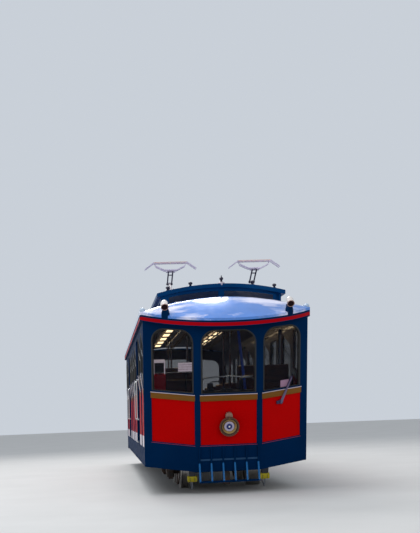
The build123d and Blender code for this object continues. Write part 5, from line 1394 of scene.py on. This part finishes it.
# Running gear
def wheels():
    """Wheelsets turned in one profile each, bright where they run."""
    r, wall = TREAD_RADIUS, 0.235
    for end, cy in (("upper", -BOGIE_Y), ("lower", BOGIE_Y)):
        for number, shift in ((1, -WHEELBASE / 2), (2, WHEELBASE / 2)):
            whole = Shape()
            y = cy + shift

            def spot(a, b, c):
                return Vector((c, y + a, r + b))
            axle = [(0.0, -0.85), (0.036, -0.85), (0.04, -0.846), (0.04, -0.72), (0.048, -0.716),
                    (0.048, 0.716), (0.04, 0.72), (0.04, 0.846), (0.036, 0.85), (0.0, 0.85)]
            whole.lathe(axle, spot, steps=32, mark=[1] * 9)
            half, web = 0.039, 0.015
            left = [(0.05, -0.075), (0.1, -0.075), (0.105, -0.07), (0.11, -web - 0.008),
                    (0.122, -web), (wall - 0.012, -web), (wall - 0.004, -web - 0.01),
                    (wall, -half - 0.026), (wall + 0.003, -half - 0.028), (r + 0.014, -half - 0.028),
                    (r + 0.02, -half - 0.024), (r + 0.022, -half - 0.016), (r + 0.018, -half - 0.009),
                    (r + 0.004, -half - 0.001), (r, -half + 0.006)]
            marks = [1] * 8 + [0] * 6
            left += [(radius, -x) for radius, x in reversed(left)]
            marks = marks + [0] + marks[::-1]
            whole.lathe(left, lambda a, b, c: spot(a, b, c - RAIL_X), steps=72, mark=marks)
            half, web = 0.12, 0.096
            right = [(0.05, -web), (0.118, -web), (wall - 0.012, -web), (wall, -half + 0.006),
                     (wall + 0.003, -half), (r - 0.005, -half), (r, -half + 0.005)]
            marks = [1, 1, 1, 1, 0, 0]
            right += [(radius, -x) for radius, x in reversed(right)]
            whole.lathe(right, lambda a, b, c: spot(a, b, c + RAIL_X), steps=72,
                        mark=marks + [0] + marks[::-1])
            name = f"{end}_wheelset_{number}"
            make(f"{name}_turned", whole, name, "wheel_steel", (STEEL, IRON), smooth=28,
                 replaces=(name,))


def bogies():
    """Frames with true coil springs over the boxes, box covers, bolts and brake pipes."""
    for end, cy in (("upper", -BOGIE_Y), ("lower", BOGIE_Y)):
        body = f"{end}_bogie"
        dress(f"{end}_bogie_frame", IRON, bevel=0.005,
              drop=lambda m, s: abs(s.x - 0.084) < 0.004 and abs(s.y - 0.084) < 0.004)
        dress(f"{end}_axle_boxes", IRON, bevel=0.006)
        dress(f"{end}_rail_brake", IRON, bevel=0.004)
        bits = Shape()
        for side in (-1, 1):
            for axle in (-WHEELBASE / 2, WHEELBASE / 2):
                x, y = side * BOX_X, cy + axle
                helix(bits, Vector((x, y, 0.39)), Vector((x, y, 0.426)), 0.034, 0.0075, 2.6, mark=1)
                cover = ((0.0, 0.0135), (0.03, 0.0135), (0.05, 0.009), (0.066, 0.0085), (0.07, 0.004),
                         (0.07, 0.0))
                low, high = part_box(f"{end}_axle_boxes")
                bits.lathe([(a, b - 0.0115) for a, b in cover],
                           lambda a, b, c: Vector((side * (0.852 + c), y + a, TREAD_RADIUS + b)),
                           steps=32)
            for k in range(7):
                y = cy - 0.9 + 0.3 * k
                bits.lathe(((0.0, 0.005), (0.009, 0.005), (0.012, 0.002), (0.012, -0.002)),
                           lambda a, b, c, y=y: Vector((side * (0.821 + c), y + a, 0.5 + b)), steps=6)
            path = [Vector((side * 0.72, cy - 1.05, 0.5)), Vector((side * 0.72, cy + 1.05, 0.5))]
            bits.tube(path, 0.011, sides=10, mark=2)
        make(f"{end}_bogie_bits", bits, body, "running_gear", (IRON, STEEL, COPPER_PIPE), smooth=40)


def under_car():
    dress("underframe", IRON, bevel=0.004)
    dress("rope_socket", IRON, bevel=0.006)
    dress("equipment_boxes", GREY, bevel=0.012, segments=3)
    bits = Shape()
    low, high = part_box("equipment_boxes")
    boxes = ((-1, -1.7, -0.5, 0.33), (1, -1.5, -0.7, 0.28), (-1, 0.3, 1.3, 0.3), (1, 0.2, 1.6, 0.33))
    for side, y0, y1, deep in boxes:
        face = side * 0.99
        top = high[2]
        for k in range(2):
            a = y0 + (y1 - y0) * k / 2 + 0.04
            b = y0 + (y1 - y0) * (k + 1) / 2 - 0.04
            x0, x1 = sorted((face - side * 0.01, face))
            bits.block(x0, x1, a, b, top - deep + 0.035, top - 0.03, None, 0)
            for z in (top - deep * 0.3, top - deep * 0.7):
                bits.tube([(face - side * 0.002, b - 0.05, z), (face, b - 0.01, z)], 0.007, mark=1)
    for side in (-1, 1):
        x = side * 0.42
        z = FLOOR_FOOT - 0.1
        bits.tube([(x, -5.2, z), (x, 4.3, z)], 0.016, sides=12, mark=2)
        bits.tube([(x - side * 0.05, -5.2, z + 0.02), (x - side * 0.05, 4.3, z + 0.02)], 0.011,
                  sides=10, mark=1)
    for y in (-1.1, 1.1):
        tank = [(0.0, -0.42), (0.05, -0.415), (0.1, -0.39), (0.12, -0.35), (0.12, 0.35), (0.1, 0.39),
                (0.05, 0.415), (0.0, 0.42)]
        bits.lathe(tank, lambda a, b, c, y=y: Vector((0.0 + a, y + c, FLOOR_FOOT - 0.29 + b)), steps=36,
                   mark=0)
        for dy in (-0.22, 0.22):
            bits.lathe(((0.121, -0.02), (0.125, -0.018), (0.125, 0.018), (0.121, 0.02)),
                       lambda a, b, c, y=y + dy: Vector((a, y + c, FLOOR_FOOT - 0.29 + b)), steps=36,
                       mark=1)
            bits.block(-0.015, 0.015, y + dy - 0.02, y + dy + 0.02, FLOOR_FOOT - 0.18, FLOOR_FOOT - 0.05,
                       None, 1)
    make("underfloor_gear", bits, "body", "desk_dark", (GREY, DARK, IRON), bevel=0.002, smooth=40)


def side_fittings():
    """Grab rails beside the doors, steps below them and rows of small rivets on the skirts."""
    rails, rivets = Shape(), Shape()
    for side in (-1, 1):
        spot = on_side(side)
        for i in DOOR_BAYS:
            for y in (bay_edges(i)[0] - 0.05, bay_edges(i)[1] + 0.05):
                base = track(y)
                rails.tube([spot(y, base + 1.2, 0.0), spot(y, base + 1.2, 0.024),
                            spot(y, base + 1.24, 0.03), spot(y, base + 1.86, 0.03),
                            spot(y, base + 1.9, 0.024), spot(y, base + 1.9, 0.0)], 0.009, sides=12)
                for h in (1.2, 1.9):
                    rails.lathe(((0.02, 0.0), (0.02, 0.004), (0.012, 0.008)),
                                lambda a, b, c, h=h, y=y: spot(y + a, track(y) + h + b, c), steps=16)
            a, b = bay_edges(i)
            points = [(a, track(a) + DOOR_FOOT - 0.02), (b, track(b) + DOOR_FOOT - 0.02),
                      (b, track(b) + DOOR_FOOT - 0.004), (a, track(a) + DOOR_FOOT - 0.004)]
            rows = [[spot(s, h, d) for s, h in points] for d in (-0.04, 0.025)]
            rails.loops(rows, capped=True)
        y = -CORNER + 0.15
        while y < CORNER - 0.1:
            rivets.lathe(((0.0, 0.0032), (0.0045, 0.0026), (0.0065, 0.0006), (0.0065, -0.0005)),
                         lambda a, b, c, y=y: spot(y + a, track(y) + SKIRT + 0.035 + b, c), steps=8)
            y += 0.12
    for _, place in ENDS:
        for facet in FACETS:
            spot, run = on_facet(facet, place)
            count = int(run / 0.1)
            for k in range(1, count):
                s = run * k / count
                rivets.lathe(((0.0, 0.0032), (0.0045, 0.0026), (0.0065, 0.0006), (0.0065, -0.0005)),
                             lambda a, b, c, s=s: spot(s + a, SKIRT + 0.03 + b, c), steps=8)
    make("grab_rails", rails, "body", "rail_metal", CHROME, smooth=40)
    make("skirt_rivets", rivets, "body", "navy_paint", NAVY, smooth=60)


stage()
photo_camera()
shell()
dress("red_panels", RED, bevel=0.003)
dress("belt_mouldings", GOLD, bevel=0.004, segments=3)
keep("end_glass", CLEAR)
keep("side_glass", SIDE_PANE)
end_trim()
side_trim()
roof_skin()
roof_trim()
headlights()
roof_lamps()
collectors()
nose_fittings()
saloon()
doors()
wheels()
bogies()
under_car()
side_fittings()
